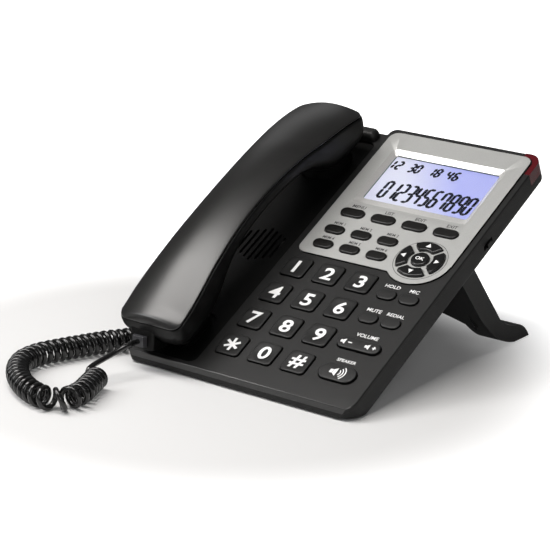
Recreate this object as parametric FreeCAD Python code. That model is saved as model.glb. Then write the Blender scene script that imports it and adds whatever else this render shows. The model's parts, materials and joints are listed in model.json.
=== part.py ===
"""Corded desk telephone with a big-button keypad, a display and a handset on a curly cord.

Most pieces are drawn in the slab's own frame and then tilted with it: X to the right, V up the
slope of the face and N straight out of the face, with N = 0 on the face. The base's front edge is
at V = 0. Everything is in millimetres.
"""

import FreeCAD, Part

import math
import os

from FreeCAD import Vector

# Base: the tilted slab
TILT = 28.4                 # slope of the face, degrees
BODY_WIDTH = 155.0          # across the slab
BODY_LENGTH = 227.2         # along the slope, under the keys and the display
CRADLE_LENGTH = 220.5       # along the slope, left of the step in the rear edge
STEP_X = -30.0              # where the rear edge steps forward
SLAB_DEPTH = 15.0           # square to the face
FRONT_HEIGHT = 7.7          # face's front edge above the floor
FLOOR_GAP = 1.3             # case above the floor, the height of the front feet
WALL = 2.2                  # case wall
FACE_WALL = 2.2             # wall of the face itself
SPLIT_N = -3.0              # joint between upper and lower case
CORNER_FRONT_LEFT = 4.0
CORNER_FRONT_RIGHT = 11.0
CORNER_REAR_RIGHT = 8.0
CORNER_REAR_LEFT = 8.0
CORNER_STEP = 5.0
CORNER_STEP_INSIDE = 1.2
LOWER_EDGE_RADIUS = 2.5
TOP_EDGE_CHAMFER = 0.8
SEAM_LIP = 1.2              # thickness of the lip inside the seam
SEAM_LIP_DEPTH = 1.8
SEAM_LIP_FRONT = 20.0
FIT_GAP = 0.3               # clearance round whatever moves or drops in
CUT_REACH = 20.0            # how far a cutting block goes past the front edge

# Keys
KEY_TRAVEL = 1.2
KEY_FLANGE = 1.0            # flange under the case, beyond the opening
SMALL_KEY_FLANGE = 0.7
NAV_KEY_FLANGE = 0.5
KEY_FLANGE_THICKNESS = 1.4
NUMBER_KEY_WIDTH = 16.2
NUMBER_KEY_HEIGHT = 16.4
NUMBER_KEY_RISE = 1.3
NUMBER_KEY_CORNER = 2.6
NUMBER_FIRST_X = -17.5
NUMBER_FIRST_V = 22.6
NUMBER_PITCH_X = 22.8
NUMBER_PITCH_V = 23.3
NUMBER_ROWS = (("star", "0", "hash"), ("7", "8", "9"), ("4", "5", "6"), ("1", "2", "3"))
SMALL_KEY_RISE = 1.3        # above the surface that the key comes out of
NAV_KEY_RISE = 1.7
SPEAKER_BUTTON_RISE = 1.7
KEY_EDGE_RADIUS = 0.7
DISH_RADIUS = 60.0
DISH_DEPTH = 0.35
FUNCTION_KEY_SIZE = (16.4, 7.2)
FUNCTION_FIRST_X = -9.8
FUNCTION_PITCH_X = 21.8
FUNCTION_V = 145.2
MEMORY_KEY_SIZE = (13.4, 6.9)
MEMORY_FIRST_X = -12.6
MEMORY_PITCH_X = 18.8
MEMORY_FIRST_V = 115.2
MEMORY_PITCH_V = 13.4
OVAL_KEY_SIZE = (12.4, 8.2)
OVAL_FIRST_X = 48.2
OVAL_PITCH_X = 15.0
OVAL_FIRST_V = 67.5
OVAL_PITCH_V = 20.6
ROCKER_SIZE = (28.0, 8.4)
ROCKER_PLACE = (55.4, 45.5)
ROCKER_GAP = 0.45
ROCKER_PIN_RADIUS = 1.0
ROCKER_RISE = 1.7
ROCKER_PIN_N = -3.4
ROCKER_PIN_REACH = 7.0      # half length of the pin
ROCKER_EAR = 1.6            # thickness of each ear that holds the pin
PIN_CLEARANCE = 0.06
SPEAKER_BUTTON_SIZE = (24.0, 12.0)
SPEAKER_BUTTON_PLACE = (55.2, 22.3)
NAV_PLACE = (52.8, 119.8)
NAV_OUTER_RADIUS = 14.8
NAV_INNER_RADIUS = 7.9
NAV_CENTRE_RADIUS = 5.5
NAV_BAR = 3.0               # bar of the panel between two arrow keys
NAV_KEY_CORNER = 1.2

# Display panel
PANEL_LEFT = -26.8
PANEL_RIGHT = 73.4
PANEL_FRONT = 105.8
PANEL_REAR = 223.0
PANEL_CORNER = 6.0
PANEL_BULGE_RADIUS = 20.2
PANEL_RISE = 1.0
PANEL_THICKNESS = 1.8
DISPLAY_LEFT = -18.0
DISPLAY_RIGHT = 63.7
DISPLAY_FRONT = 154.8
DISPLAY_REAR = 208.9
DISPLAY_SLOPE = 4.2         # width of the sloped frame round the window
DISPLAY_SLOPE_FRONT = 7.5   # and on its front side
DISPLAY_CORNER = 2.0
WINDOW_TOP_N = -1.4
WINDOW_THICKNESS = 1.2
MODULE_MARGIN = 2.2

# Lamp at the rear right corner
LAMP_LENGTH_X = 11.8
LAMP_LENGTH_V = 18.5
LAMP_DEPTH = 8.5
LAMP_PANEL_GAP = 0.5
LAMP_FIT_GAP = 0.15
LAMP_WALL = 3.7

# Cradle
CRADLE_RIGHT = -32.0
CRADLE_RIM = 2.6
CRADLE_FLOOR_N = -1.5
CRADLE_REAR = 210.6
MOUTH_WELL_SIZE = (31.0, 32.0)
MOUTH_WELL_V = 27.0
MOUTH_WELL_FLOOR_N = -2.5
MOUTH_WELL_CORNER = 7.0
EAR_WELL_RADIUS = 17.3
EAR_WELL_V = 186.0
EAR_WELL_FLOOR_N = -5.0
RIDGE_HEIGHT = 6.0
RIDGE_DEPTH = 8.5
RIDGE_RIGHT = -33.5
RIDGE_RADIUS = 3.0
RIDGE_END_RADIUS = 4.0
GRILLE_V = 106.0            # the row of slots is centred across the cradle
GRILLE_SLOTS = 7
GRILLE_PITCH = 4.2
GRILLE_SLOT = 1.8
GRILLE_LENGTH = 30.0
GRILLE_TAPER = 0.9          # shortening per millimetre from the middle

# Handset: stations along its length, each with half width, parting height, top and bottom
HANDSET_X = -56.0
HANDSET_STATIONS = (
    (0.8, 17.0, 24.6, 27.5, 17.0),
    (2.5, 19.2, 25.2, 30.4, 11.5),
    (7.0, 20.5, 26.0, 31.8, 5.5),
    (16.0, 21.0, 27.7, 33.6, 2.2),
    (31.0, 20.4, 30.9, 36.9, 2.0),
    (44.0, 19.2, 33.8, 39.8, 5.0),
    (56.0, 18.5, 35.7, 41.7, 15.0),
    (68.0, 17.7, 37.4, 43.4, 23.0),
    (88.0, 16.7, 39.2, 45.2, 27.0),
    (112.0, 16.7, 39.7, 45.7, 28.3),
    (136.0, 17.9, 38.3, 44.3, 26.8),
    (150.0, 18.8, 36.8, 42.8, 22.5),
    (162.0, 20.3, 34.7, 40.7, 12.5),
    (172.0, 20.9, 33.2, 39.2, 4.0),
    (186.0, 21.4, 30.5, 36.5, 2.2),
    (198.0, 21.5, 27.3, 33.0, 2.6),
    (204.0, 21.0, 25.6, 31.0, 6.5),
    (207.0, 19.4, 24.7, 29.8, 12.0),
    (209.0, 16.8, 24.1, 28.6, 16.0),
    (209.8, 14.5, 23.8, 27.2, 18.0),
)
HANDSET_WALL = 1.9
PARTING_GROOVE = 0.5
SHELL_SQUARENESS_TOP = 3.5  # 2 is an ellipse, more is boxier
SHELL_SQUARENESS_BOTTOM = 3.0
EAR_BOSS_RADIUS = 16.5
MOUTH_BOSS_SIZE = (26.0, 27.0)
MOUTH_BOSS_CORNER = 6.0
BOSS_TOP_N = 10.0
BOSS_HOLLOW_TOP_N = 13.0
RECEIVER_RADIUS = 13.5
RECEIVER_THICKNESS = 6.5
MICROPHONE_RADIUS = 4.8
MICROPHONE_THICKNESS = 5.5
HANDSET_JACK_X = -62.0
HANDSET_JACK_WIDTH = 17.0
HANDSET_JACK_FRONT_Y = -8.6 # upright front face of the jack block, before centring
HANDSET_JACK_BOTTOM_Z = 13.6
HANDSET_JACK_TOP_Z = 25.0
HANDSET_JACK_DEPTH = 16.0
JACK_BLOCK_RADIUS = 1.5
SOUND_HOLE_RADIUS = 0.9
EAR_HOLES = 8
EAR_HOLE_RING = 9.0
MOUTH_HOLE_PITCH = 3.0

# Plugs, sockets and the cord
PLUG_WIDTH = 8.0
PLUG_HEIGHT = 6.4
PLUG_LENGTH = 13.0
PLUG_PROUD = 3.0            # how far a plug stands out of its socket
PLUG_DROP = 0.8             # handset plug below the middle of its block
BASE_JACK_V = 31.0
BASE_JACK_N = -9.2
LINE_JACK_X = -40.0
LINE_JACK_SIZE = (11.0, 6.2)
LINE_JACK_N = -9.2
SOCKET_WALL = 1.5
SOCKET_ROOF = 0.6
WIRE_DIAMETER = 3.2
CURL_RADIUS = 5.4           # wire centre to curl axis
CURL_PITCH = 4.5            # on the inner side of a bend
ROUTE_STEPS = 1200          # points that the curl's axis is read at
CURL_START_TURN = math.radians(90)
CURL_END_TURN = math.radians(270)
HEADING_STEP = 0.01
BEND_SPAN = 30              # axis points on each side that the bend is read over
TAIL_START = Vector(-66.5, -33.0, 13.5)
TAIL_DIRECTION = Vector(0.1, 0.97, 0.2).normalize()
CURL_AXIS_Z = 7.05
CURL_ROUTE = (
    (-86.5, 27.0),
    (-89.6, 14.0),
    (-96.0, 4.0),
    (-100.6, -9.0),
    (-106.6, -26.0),
    (-111.6, -44.0),
    (-108.0, -62.0),
    (-92.0, -80.0),
    (-70.0, -93.0),
    (-51.0, -94.0),
    (-48.5, -78.0),
    (-55.0, -62.0),
    (-62.0, -45.0),
)

# Controls beside the keys
HOOK_SIZE = (9.0, 6.0)
HOOK_TRAVEL = 4.0
HOOK_FLANGE = 2.0
HOOK_CORNER = 1.8
SWITCH_V = 154.0
SWITCH_N = -8.6
SWITCH_TRAVEL = 2.5         # each way
SWITCH_KNOB = (4.4, 2.6, 1.2)
SWITCH_PLATE = 1.4
SWITCH_PLATE_MARGIN = 1.0

# Inside
BOARD_TOP_N = -8.6
BOARD_THICKNESS = 1.6
BOARD_LEFT = -27.0
BOARD_SIDE_GAP = 11.5       # from the board to the right side of the case
BOARD_FRONT = 16.5
BOARD_REAR = 220.0
BOARD_POST_INSET = 6.0
MAT_THICKNESS = 0.9
DOME_RADIUS = 3.4
SMALL_DOME_RADIUS = 2.4
LOUDSPEAKER_RADIUS = 17.0
LOUDSPEAKER_DEPTH = 7.6
LOUDSPEAKER_RIM = 1.6
CONE_DEPTH = 3.0
MAGNET_RADIUS = 11.0
POST_RADIUS = 3.4
SCREW_HEAD_RADIUS = 2.7
SCREW_RADIUS = 1.3
SCREW_HEAD_HEIGHT = 1.6
SCREW_CLEARANCE = 0.15
SCREW_PLACES = ((70.3, 34.0), (70.3, 200.0), (-70.3, 62.0), (-70.3, 150.0))

# Rear stand, an upright profile in Y and Z that runs across the slab
STAND_HALF_WIDTH = 75.4
STAND_LEG_WIDTH = 16.0
STAND_PLATE_THICKNESS = 3.6
STAND_TOP_FRONT_Y = 115.7
STAND_TOP_REAR_Y = 128.6
STAND_ARCH_FOOT_Z = 15.0
STAND_ARCH_TOP_Z = 31.0
STAND_PAD = 1.0
STAND_PAD_MARGIN = 2.0
STAND_SHIN = (139.8, 27.3)
STAND_SHIN_MIDDLE = (152.6, 16.2)
STAND_ANKLE = (166.0, 7.4)
STAND_ANKLE_MIDDLE = (175.5, 3.5)
STAND_TOE_MIDDLE = (198.6, 7.0)
STAND_INSTEP = (190.0, 11.4)
STAND_INSTEP_MIDDLE = (177.5, 13.8)
STAND_CALF = (165.5, 20.3)
FOOT_TOE_Y = 204.2
FOOT_HEEL_Y = 186.0
STAND_HOOK = (12.0, 2.6, 4.2)
STAND_HOOK_ROOT = 0.6
STAND_HOOK_PLACES = (-66.0, -22.0, 22.0, 66.0)
FOOT_X = 60.0
FOOT_Y = 10.5
FOOT_PAD_RADIUS = 5.0
FOOT_PAD_SINK = 0.6
BUMPER_RADIUS = 6.0
BUMPER_RISE = 2.4
BUMPER_V = 178.0

# Nodes that reach furthest, apart from the cord and its plugs
OUTERMOST_NODES = (
    "lower_case",
    "upper_case",
    "ringer_switch",
    "handset_lower_shell",
    "handset_upper_shell",
    "rear_stand",
    "front_feet",
    "stand_pads",
)

SIN = math.sin(math.radians(TILT))
COS = math.cos(math.radians(TILT))
HALF_WIDTH = BODY_WIDTH / 2
BOARD_RIGHT = HALF_WIDTH - BOARD_SIDE_GAP
BOTTOM_N = -SLAB_DEPTH
FRONT_FOOT_V = -(FRONT_HEIGHT - FLOOR_GAP) * SIN
FRONT_FOOT_N = -(FRONT_HEIGHT - FLOOR_GAP) * COS
SCREW_SEAT_N = BOTTOM_N + WALL + 2.4
SCREW_HOLE_TOP_N = -FACE_WALL - 1.5
FLANGE_TOP_N = -FACE_WALL - FIT_GAP
FLANGE_BOTTOM_N = FLANGE_TOP_N - KEY_FLANGE_THICKNESS


def box(x0, x1, v0, v1, n0, n1):
    """A block between two corners."""
    return Part.makeBox(x1 - x0, v1 - v0, n1 - n0, Vector(x0, v0, n0))


def cuboid(x, v, n, width, length, height):
    """A block about its centre."""
    return Part.makeBox(width, length, height, Vector(x - width / 2, v - length / 2, n - height / 2))


def disc(x, v, radius, n0, n1):
    """A round block square to the face."""
    return Part.makeCylinder(radius, n1 - n0, Vector(x, v, n0))


def arc_corner(before, corner, after, radius):
    """Ends and middle of the arc that rounds one corner of a flat outline."""
    back = (before - corner).normalize()
    ahead = (after - corner).normalize()
    half = back.getAngle(ahead) / 2
    reach = radius / math.tan(half)
    start, end = corner + back * reach, corner + ahead * reach
    middle = corner + (back + ahead).normalize() * (radius / math.sin(half) - radius)
    return start, middle, end


def outline(points, n):
    """A closed wire at height n through (x, v, corner radius) points."""
    corners = [Vector(x, v, n) for x, v, _ in points]
    arcs = []
    for i, (_, _, radius) in enumerate(points):
        before, after = corners[i - 1], corners[(i + 1) % len(points)]
        arcs.append(arc_corner(before, corners[i], after, radius) if radius else (corners[i],) * 3)
    edges = []
    for i, (start, middle, end) in enumerate(arcs):
        if points[i][2]:
            edges.append(Part.Arc(start, middle, end).toShape())
        following = arcs[(i + 1) % len(arcs)][0]
        if end.distanceToPoint(following) > 1e-6:
            edges.append(Part.LineSegment(end, following).toShape())
    return Part.Wire(edges)


def plate(points, n0, n1):
    """A flat outline made thick."""
    return Part.Face(outline(points, n0)).extrude(Vector(0, 0, n1 - n0))


def rectangle(x, v, width, height, corner):
    """Corner list of a rectangle about a centre."""
    w, h = width / 2, height / 2
    corner = min(corner, w - 0.01, h - 0.01)
    signs = ((-1, -1), (1, -1), (1, 1), (-1, 1))
    return [(x + right * w, v + up * h, corner) for right, up in signs]


def rounded(x, v, width, height, corner, n0, n1):
    """A rounded rectangle about a centre, made thick."""
    return plate(rectangle(x, v, width, height, corner), n0, n1)


def profile(points, x0, x1):
    """An outline of (second, third) coordinates, swept along X."""
    wire = Part.makePolygon([Vector(x0, a, b) for a, b in points + [points[0]]])
    return Part.Face(wire).extrude(Vector(x1 - x0, 0, 0))


def soften(shape, radius, wanted):
    """Fillets the edges for which wanted(edge) holds."""
    edges = [e for e in shape.Edges if wanted(e)]
    return shape.makeFillet(radius, edges).Solids[0]


def lies_at(edge, n):
    """Whether an edge lies in the plane at height n."""
    return abs(edge.BoundBox.ZMin - n) < 1e-4 and abs(edge.BoundBox.ZMax - n) < 1e-4


def fused(shapes):
    """One solid out of several that touch."""
    whole = shapes[0].multiFuse(shapes[1:]) if len(shapes) > 1 else shapes[0]
    return whole.removeSplitter()


def grouped(shapes):
    """Separate solids in one node."""
    return Part.makeCompound(shapes)


def to_world(shape):
    """Tilts a piece from the slab's frame into the upright one."""
    placed = shape.copy()
    placed.rotate(Vector(0, 0, 0), Vector(1, 0, 0), TILT)
    placed.translate(Vector(0, 0, FRONT_HEIGHT))
    return placed


def to_slab(shape):
    """The reverse of to_world."""
    placed = shape.copy()
    placed.translate(Vector(0, 0, -FRONT_HEIGHT))
    placed.rotate(Vector(0, 0, 0), Vector(1, 0, 0), -TILT)
    return placed


def world_point(x, v, n):
    """A point of the slab's frame in the upright one."""
    return Vector(x, v * COS - n * SIN, FRONT_HEIGHT + v * SIN + n * COS)


def underside_z(y):
    """Height of the slab's underside at a distance back from the front edge."""
    return FRONT_HEIGHT + y * SIN / COS - SLAB_DEPTH / COS


def slab_outline(inset):
    """Plan outline of the slab with the step in its rear edge, drawn in by inset."""
    front = FRONT_FOOT_V - 0.05 + inset
    right, rear = HALF_WIDTH - inset, BODY_LENGTH - inset
    step_x, step_rear = STEP_X + inset, CRADLE_LENGTH - inset
    outside = (
        (-right, front, CORNER_FRONT_LEFT),
        (right, front, CORNER_FRONT_RIGHT),
        (right, rear, CORNER_REAR_RIGHT),
        (step_x, rear, CORNER_STEP),
    )
    corners = [(x, v, max(radius - inset, 1.0)) for x, v, radius in outside]
    corners.append((step_x, step_rear, CORNER_STEP_INSIDE + min(inset, CORNER_STEP - 1.0)))
    corners.append((-right, step_rear, CORNER_REAR_LEFT - inset))
    return corners


def slab_outside():
    """The whole base as one block, before it is split and hollowed."""
    floor_run = (SLAB_DEPTH + FRONT_FOOT_N) * COS / SIN
    side = [
        (0, 0),
        (FRONT_FOOT_V, FRONT_FOOT_N),
        (FRONT_FOOT_V + floor_run, BOTTOM_N),
        (BODY_LENGTH, BOTTOM_N),
        (BODY_LENGTH, 0),
    ]
    block = profile(side, -HALF_WIDTH, HALF_WIDTH)
    block = block.common(plate(slab_outline(0), BOTTOM_N - 1, 1))
    behind_foot = FRONT_FOOT_V + floor_run + 1
    return soften(block, LOWER_EDGE_RADIUS, lambda e: lies_at(e, BOTTOM_N) and e.BoundBox.YMax > behind_foot)


def slab_cavity():
    """The space inside the case walls."""
    front = CORNER_FRONT_LEFT
    floor_front_n = FRONT_FOOT_N + WALL / COS - (front - FRONT_FOOT_V) * SIN / COS
    floor_rear_v = front + (SLAB_DEPTH - WALL + floor_front_n) * COS / SIN
    inside_bottom = BOTTOM_N + WALL
    side = [
        (front, -FACE_WALL),
        (front, floor_front_n),
        (floor_rear_v, inside_bottom),
        (BODY_LENGTH - WALL, inside_bottom),
        (BODY_LENGTH - WALL, -FACE_WALL),
    ]
    block = profile(side, -HALF_WIDTH, HALF_WIDTH)
    return block.common(plate(slab_outline(WALL), BOTTOM_N, 1))


def panel_outline(grow, n0, n1):
    """The display panel's outline, with the bulge round the arrow keys."""
    sheet = plate(
        [
            (PANEL_LEFT - grow, PANEL_FRONT - grow, PANEL_CORNER),
            (PANEL_RIGHT + grow, PANEL_FRONT - grow, PANEL_CORNER),
            (PANEL_RIGHT + grow, PANEL_REAR + grow, PANEL_CORNER),
            (PANEL_LEFT - grow, PANEL_REAR + grow, PANEL_CORNER),
        ],
        n0,
        n1,
    )
    x, v = NAV_PLACE
    lower_right = box(x, HALF_WIDTH, 0, v, n0 - 1, n1 + 1)
    bulge = disc(x, v, PANEL_BULGE_RADIUS + grow, n0, n1)
    return fused([sheet.cut(lower_right), bulge])


def number_keys():
    """Name and centre of each number key."""
    places = []
    for row, names in enumerate(NUMBER_ROWS):
        for column, name in enumerate(names):
            x = NUMBER_FIRST_X + column * NUMBER_PITCH_X
            places.append(("number_key_" + name, x, NUMBER_FIRST_V + row * NUMBER_PITCH_V))
    return places


def pill_keys():
    """Name, centre, size and top of each small key with round ends."""
    places = []
    top = PANEL_RISE + SMALL_KEY_RISE
    for i in range(4):
        x = FUNCTION_FIRST_X + i * FUNCTION_PITCH_X
        places.append((f"function_key_{i + 1}", x, FUNCTION_V, FUNCTION_KEY_SIZE, top))
    for i in range(6):
        x = MEMORY_FIRST_X + (i % 3) * MEMORY_PITCH_X
        v = MEMORY_FIRST_V + (1 - i // 3) * MEMORY_PITCH_V
        places.append((f"memory_key_{i + 1}", x, v, MEMORY_KEY_SIZE, top))
    for i in range(4):
        x = OVAL_FIRST_X + (i % 2) * OVAL_PITCH_X
        v = OVAL_FIRST_V + (1 - i // 2) * OVAL_PITCH_V
        places.append((f"oval_key_{i + 1}", x, v, OVAL_KEY_SIZE, SMALL_KEY_RISE))
    places.append(("speaker_button", *SPEAKER_BUTTON_PLACE, SPEAKER_BUTTON_SIZE, SPEAKER_BUTTON_RISE))
    return places


def nav_sectors(grow, n0, n1):
    """The four arrow keys as quarter rings, grown by grow: right, up, left and down."""
    centre = Vector(*NAV_PLACE, n0)
    outer, inner = NAV_OUTER_RADIUS + grow, NAV_INNER_RADIUS - grow
    half_bar = NAV_BAR / 2 - grow

    def at(radius, side):
        angle = side * (math.pi / 4 - math.asin(half_bar / radius))
        return centre + Vector(radius * math.cos(angle), radius * math.sin(angle), 0)

    edges = [
        Part.LineSegment(at(inner, -1), at(outer, -1)).toShape(),
        Part.Arc(at(outer, -1), centre + Vector(outer, 0, 0), at(outer, 1)).toShape(),
        Part.LineSegment(at(outer, 1), at(inner, 1)).toShape(),
        Part.Arc(at(inner, 1), centre + Vector(inner, 0, 0), at(inner, -1)).toShape(),
    ]
    sector = Part.Face(Part.Wire(edges)).extrude(Vector(0, 0, n1 - n0))
    sector = soften(sector, NAV_KEY_CORNER, lambda e: e.BoundBox.ZLength > (n1 - n0) / 2)
    sectors = []
    for quarter in range(4):
        turned = sector.copy()
        turned.rotate(centre, Vector(0, 0, 1), 90 * quarter)
        sectors.append(turned)
    return sectors


def key_openings(grow, n0, n1):
    """Every key's opening as one tool to cut with."""
    side, end = NUMBER_KEY_WIDTH + 2 * grow, NUMBER_KEY_HEIGHT + 2 * grow
    tools = [rounded(x, v, side, end, NUMBER_KEY_CORNER, n0, n1) for _, x, v in number_keys()]
    for _, x, v, (width, height), _ in pill_keys():
        tools.append(rounded(x, v, width + 2 * grow, height + 2 * grow, height, n0, n1))
    tools += nav_sectors(grow, n0, n1)
    tools.append(disc(*NAV_PLACE, NAV_CENTRE_RADIUS + grow, n0, n1))
    width, height = (size + 2 * (ROCKER_GAP - FIT_GAP + grow) for size in ROCKER_SIZE)
    tools.append(rounded(*ROCKER_PLACE, width, height, height, n0, n1))
    return grouped(tools)


def lamp_block(grow, n0):
    """The corner that the lamp fills, outside the panel."""
    left, front = HALF_WIDTH - LAMP_LENGTH_X - grow, BODY_LENGTH - LAMP_LENGTH_V - grow
    corner = box(left, HALF_WIDTH + 1, front, BODY_LENGTH + 1, n0, 1)
    return corner.cut(panel_outline(LAMP_PANEL_GAP - grow, n0 - 1, 2))


def cradle_fill():
    """Material under the cradle's floor and wells, clear of the lower case's walls."""
    width, height = (size + 2 * WALL for size in MOUTH_WELL_SIZE)
    corner = MOUTH_WELL_CORNER + WALL
    rear = CRADLE_LENGTH - WALL
    levels = (CRADLE_FLOOR_N, MOUTH_WELL_FLOOR_N, EAR_WELL_FLOOR_N)
    under_floor, under_mouth, under_ear = (level - WALL for level in levels)
    fill = fused(
        [
            box(-HALF_WIDTH, CRADLE_RIGHT + WALL, CORNER_FRONT_LEFT, rear, under_floor, -FACE_WALL),
            rounded(HANDSET_X, MOUTH_WELL_V, width, height, corner, under_mouth, -FACE_WALL),
            disc(HANDSET_X, EAR_WELL_V, EAR_WELL_RADIUS + WALL, under_ear, -FACE_WALL),
        ]
    )
    return fill.common(plate(slab_outline(WALL + FIT_GAP), BOTTOM_N, 0))


def cradle_hollow():
    """Everything cut away above the cradle's floor."""
    left = -HALF_WIDTH + CRADLE_RIM
    floor = rounded(
        (left + CRADLE_RIGHT) / 2,
        (CRADLE_RIM + CRADLE_REAR) / 2,
        CRADLE_RIGHT - left,
        CRADLE_REAR - CRADLE_RIM,
        5,
        CRADLE_FLOOR_N,
        2,
    )
    width, height = MOUTH_WELL_SIZE
    mouth = rounded(HANDSET_X, MOUTH_WELL_V, width, height, MOUTH_WELL_CORNER, MOUTH_WELL_FLOOR_N, 2)
    ear = disc(HANDSET_X, EAR_WELL_V, EAR_WELL_RADIUS, EAR_WELL_FLOOR_N, 2)
    return fused([floor, mouth, ear])


def cradle_middle():
    """Middle of the cradle across the slab."""
    return (-HALF_WIDTH + CRADLE_RIM + CRADLE_RIGHT) / 2


def grille_tool():
    """Slots over the loudspeaker, shorter towards the ends of the row."""
    slots = []
    middle, bottom = cradle_middle(), CRADLE_FLOOR_N - WALL - 1
    for i in range(GRILLE_SLOTS):
        offset = (i - (GRILLE_SLOTS - 1) / 2) * GRILLE_PITCH
        length = GRILLE_LENGTH - GRILLE_TAPER * abs(offset)
        slots.append(rounded(middle + offset, GRILLE_V, GRILLE_SLOT, length, GRILLE_SLOT, bottom, 2))
    return grouped(slots)


def cradle_ridge():
    """The raised cheek behind the earpiece."""
    left, rear = -HALF_WIDTH + CRADLE_RIM, CRADLE_REAR + RIDGE_DEPTH
    block = box(left, RIDGE_RIGHT, CRADLE_REAR, rear, -FACE_WALL, RIDGE_HEIGHT)
    block = soften(block, RIDGE_END_RADIUS, lambda e: lies_at(e, RIDGE_HEIGHT) and e.BoundBox.XLength < 0.01)
    return soften(block, RIDGE_RADIUS, lambda e: lies_at(e, RIDGE_HEIGHT))


def seam_lip():
    """Lip of the upper case inside the lower case's walls, left out over the sloping front."""
    outer, inner = WALL + FIT_GAP, WALL + FIT_GAP + SEAM_LIP
    bottom = SPLIT_N - SEAM_LIP_DEPTH
    lip = plate(slab_outline(outer), bottom, -FACE_WALL).cut(plate(slab_outline(inner), bottom - 1, 0))
    return lip.cut(box(-HALF_WIDTH, HALF_WIDTH, -CUT_REACH, SEAM_LIP_FRONT, -SLAB_DEPTH, 1))


def rocker_ears():
    """Two ears under the face that hold the rocker's pin."""
    x, v = ROCKER_PLACE
    bottom = ROCKER_PIN_N - ROCKER_PIN_RADIUS - ROCKER_EAR
    middle, height = (bottom - FACE_WALL) / 2, -FACE_WALL - bottom
    offset = ROCKER_PIN_REACH - ROCKER_EAR / 2
    width = 2 * (ROCKER_PIN_RADIUS + ROCKER_EAR)
    return [cuboid(x, v + side * offset, middle, width, ROCKER_EAR, height) for side in (-1, 1)]


def rocker_pin(radius, reach):
    """The rocker's pin, or the hole for it."""
    x, v = ROCKER_PLACE
    return Part.makeCylinder(radius, 2 * reach, Vector(x, v - reach, ROCKER_PIN_N), Vector(0, 1, 0))


def upper_case():
    """The top half: face, cradle, wells and key openings."""
    shell = slab_outside().common(box(-HALF_WIDTH, HALF_WIDTH, -CUT_REACH, BODY_LENGTH, SPLIT_N, 1))
    shell = soften(shell, TOP_EDGE_CHAMFER, lambda e: lies_at(e, 0))
    shell = shell.cut(slab_cavity())
    posts = [disc(x, v, POST_RADIUS, SCREW_SEAT_N, -FACE_WALL) for x, v in SCREW_PLACES]
    shell = fused([shell, seam_lip(), cradle_fill(), cradle_ridge()] + posts + rocker_ears())
    hook_width, hook_height = (size + 2 * FIT_GAP for size in HOOK_SIZE)
    display = (DISPLAY_LEFT, DISPLAY_RIGHT, DISPLAY_FRONT, DISPLAY_REAR)
    tools = [
        cradle_hollow(),
        grille_tool(),
        panel_outline(FIT_GAP, PANEL_RISE - PANEL_THICKNESS, 3),
        key_openings(FIT_GAP, -FACE_WALL - 1, 3),
        box(*display, -FACE_WALL - 1, 3),
        lamp_block(0, -LAMP_DEPTH),
        rounded(HANDSET_X, EAR_WELL_V, hook_width, hook_height, HOOK_CORNER, -SLAB_DEPTH, 2),
        rocker_pin(ROCKER_PIN_RADIUS + PIN_CLEARANCE, 2 * ROCKER_PIN_REACH),
    ]
    tools += [disc(x, v, SCREW_RADIUS, BOTTOM_N, SCREW_HOLE_TOP_N) for x, v in SCREW_PLACES]
    for tool in tools:
        shell = shell.cut(tool)
    return shell


def board_posts():
    """Posts that carry the main board."""
    top = BOARD_TOP_N - BOARD_THICKNESS
    rows = (BOARD_FRONT + BOARD_POST_INSET, (BOARD_FRONT + BOARD_REAR) / 2, BOARD_REAR - BOARD_POST_INSET)
    columns = (BOARD_LEFT + BOARD_POST_INSET, BOARD_RIGHT - BOARD_POST_INSET)
    return [disc(x, v, POST_RADIUS, BOTTOM_N + WALL - 0.5, top) for x in columns for v in rows]


def loudspeaker_ring():
    """Ring on the floor that presses the loudspeaker up against the grille."""
    centre = (cradle_middle(), GRILLE_V)
    low, top = BOTTOM_N + WALL - 0.5, loudspeaker_bottom()
    ring = disc(*centre, MAGNET_RADIUS, low, top)
    return ring.cut(disc(*centre, MAGNET_RADIUS - WALL, low - 1, top + 1))


def plug_opening(depth):
    """The hole round the base plug, from outside the left wall to a depth."""
    length = depth + 1
    height = PLUG_HEIGHT + 2 * FIT_GAP
    x = -HALF_WIDTH - 1 + length / 2
    return cuboid(x, BASE_JACK_V, BASE_JACK_N, length, PLUG_WIDTH + 2 * FIT_GAP, height)


def line_opening(depth):
    """The hole of the line socket, from outside the rear wall to a depth."""
    width, height = LINE_JACK_SIZE
    return cuboid(LINE_JACK_X, CRADLE_LENGTH + 1 - depth / 2, LINE_JACK_N, width, depth, height)


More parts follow.
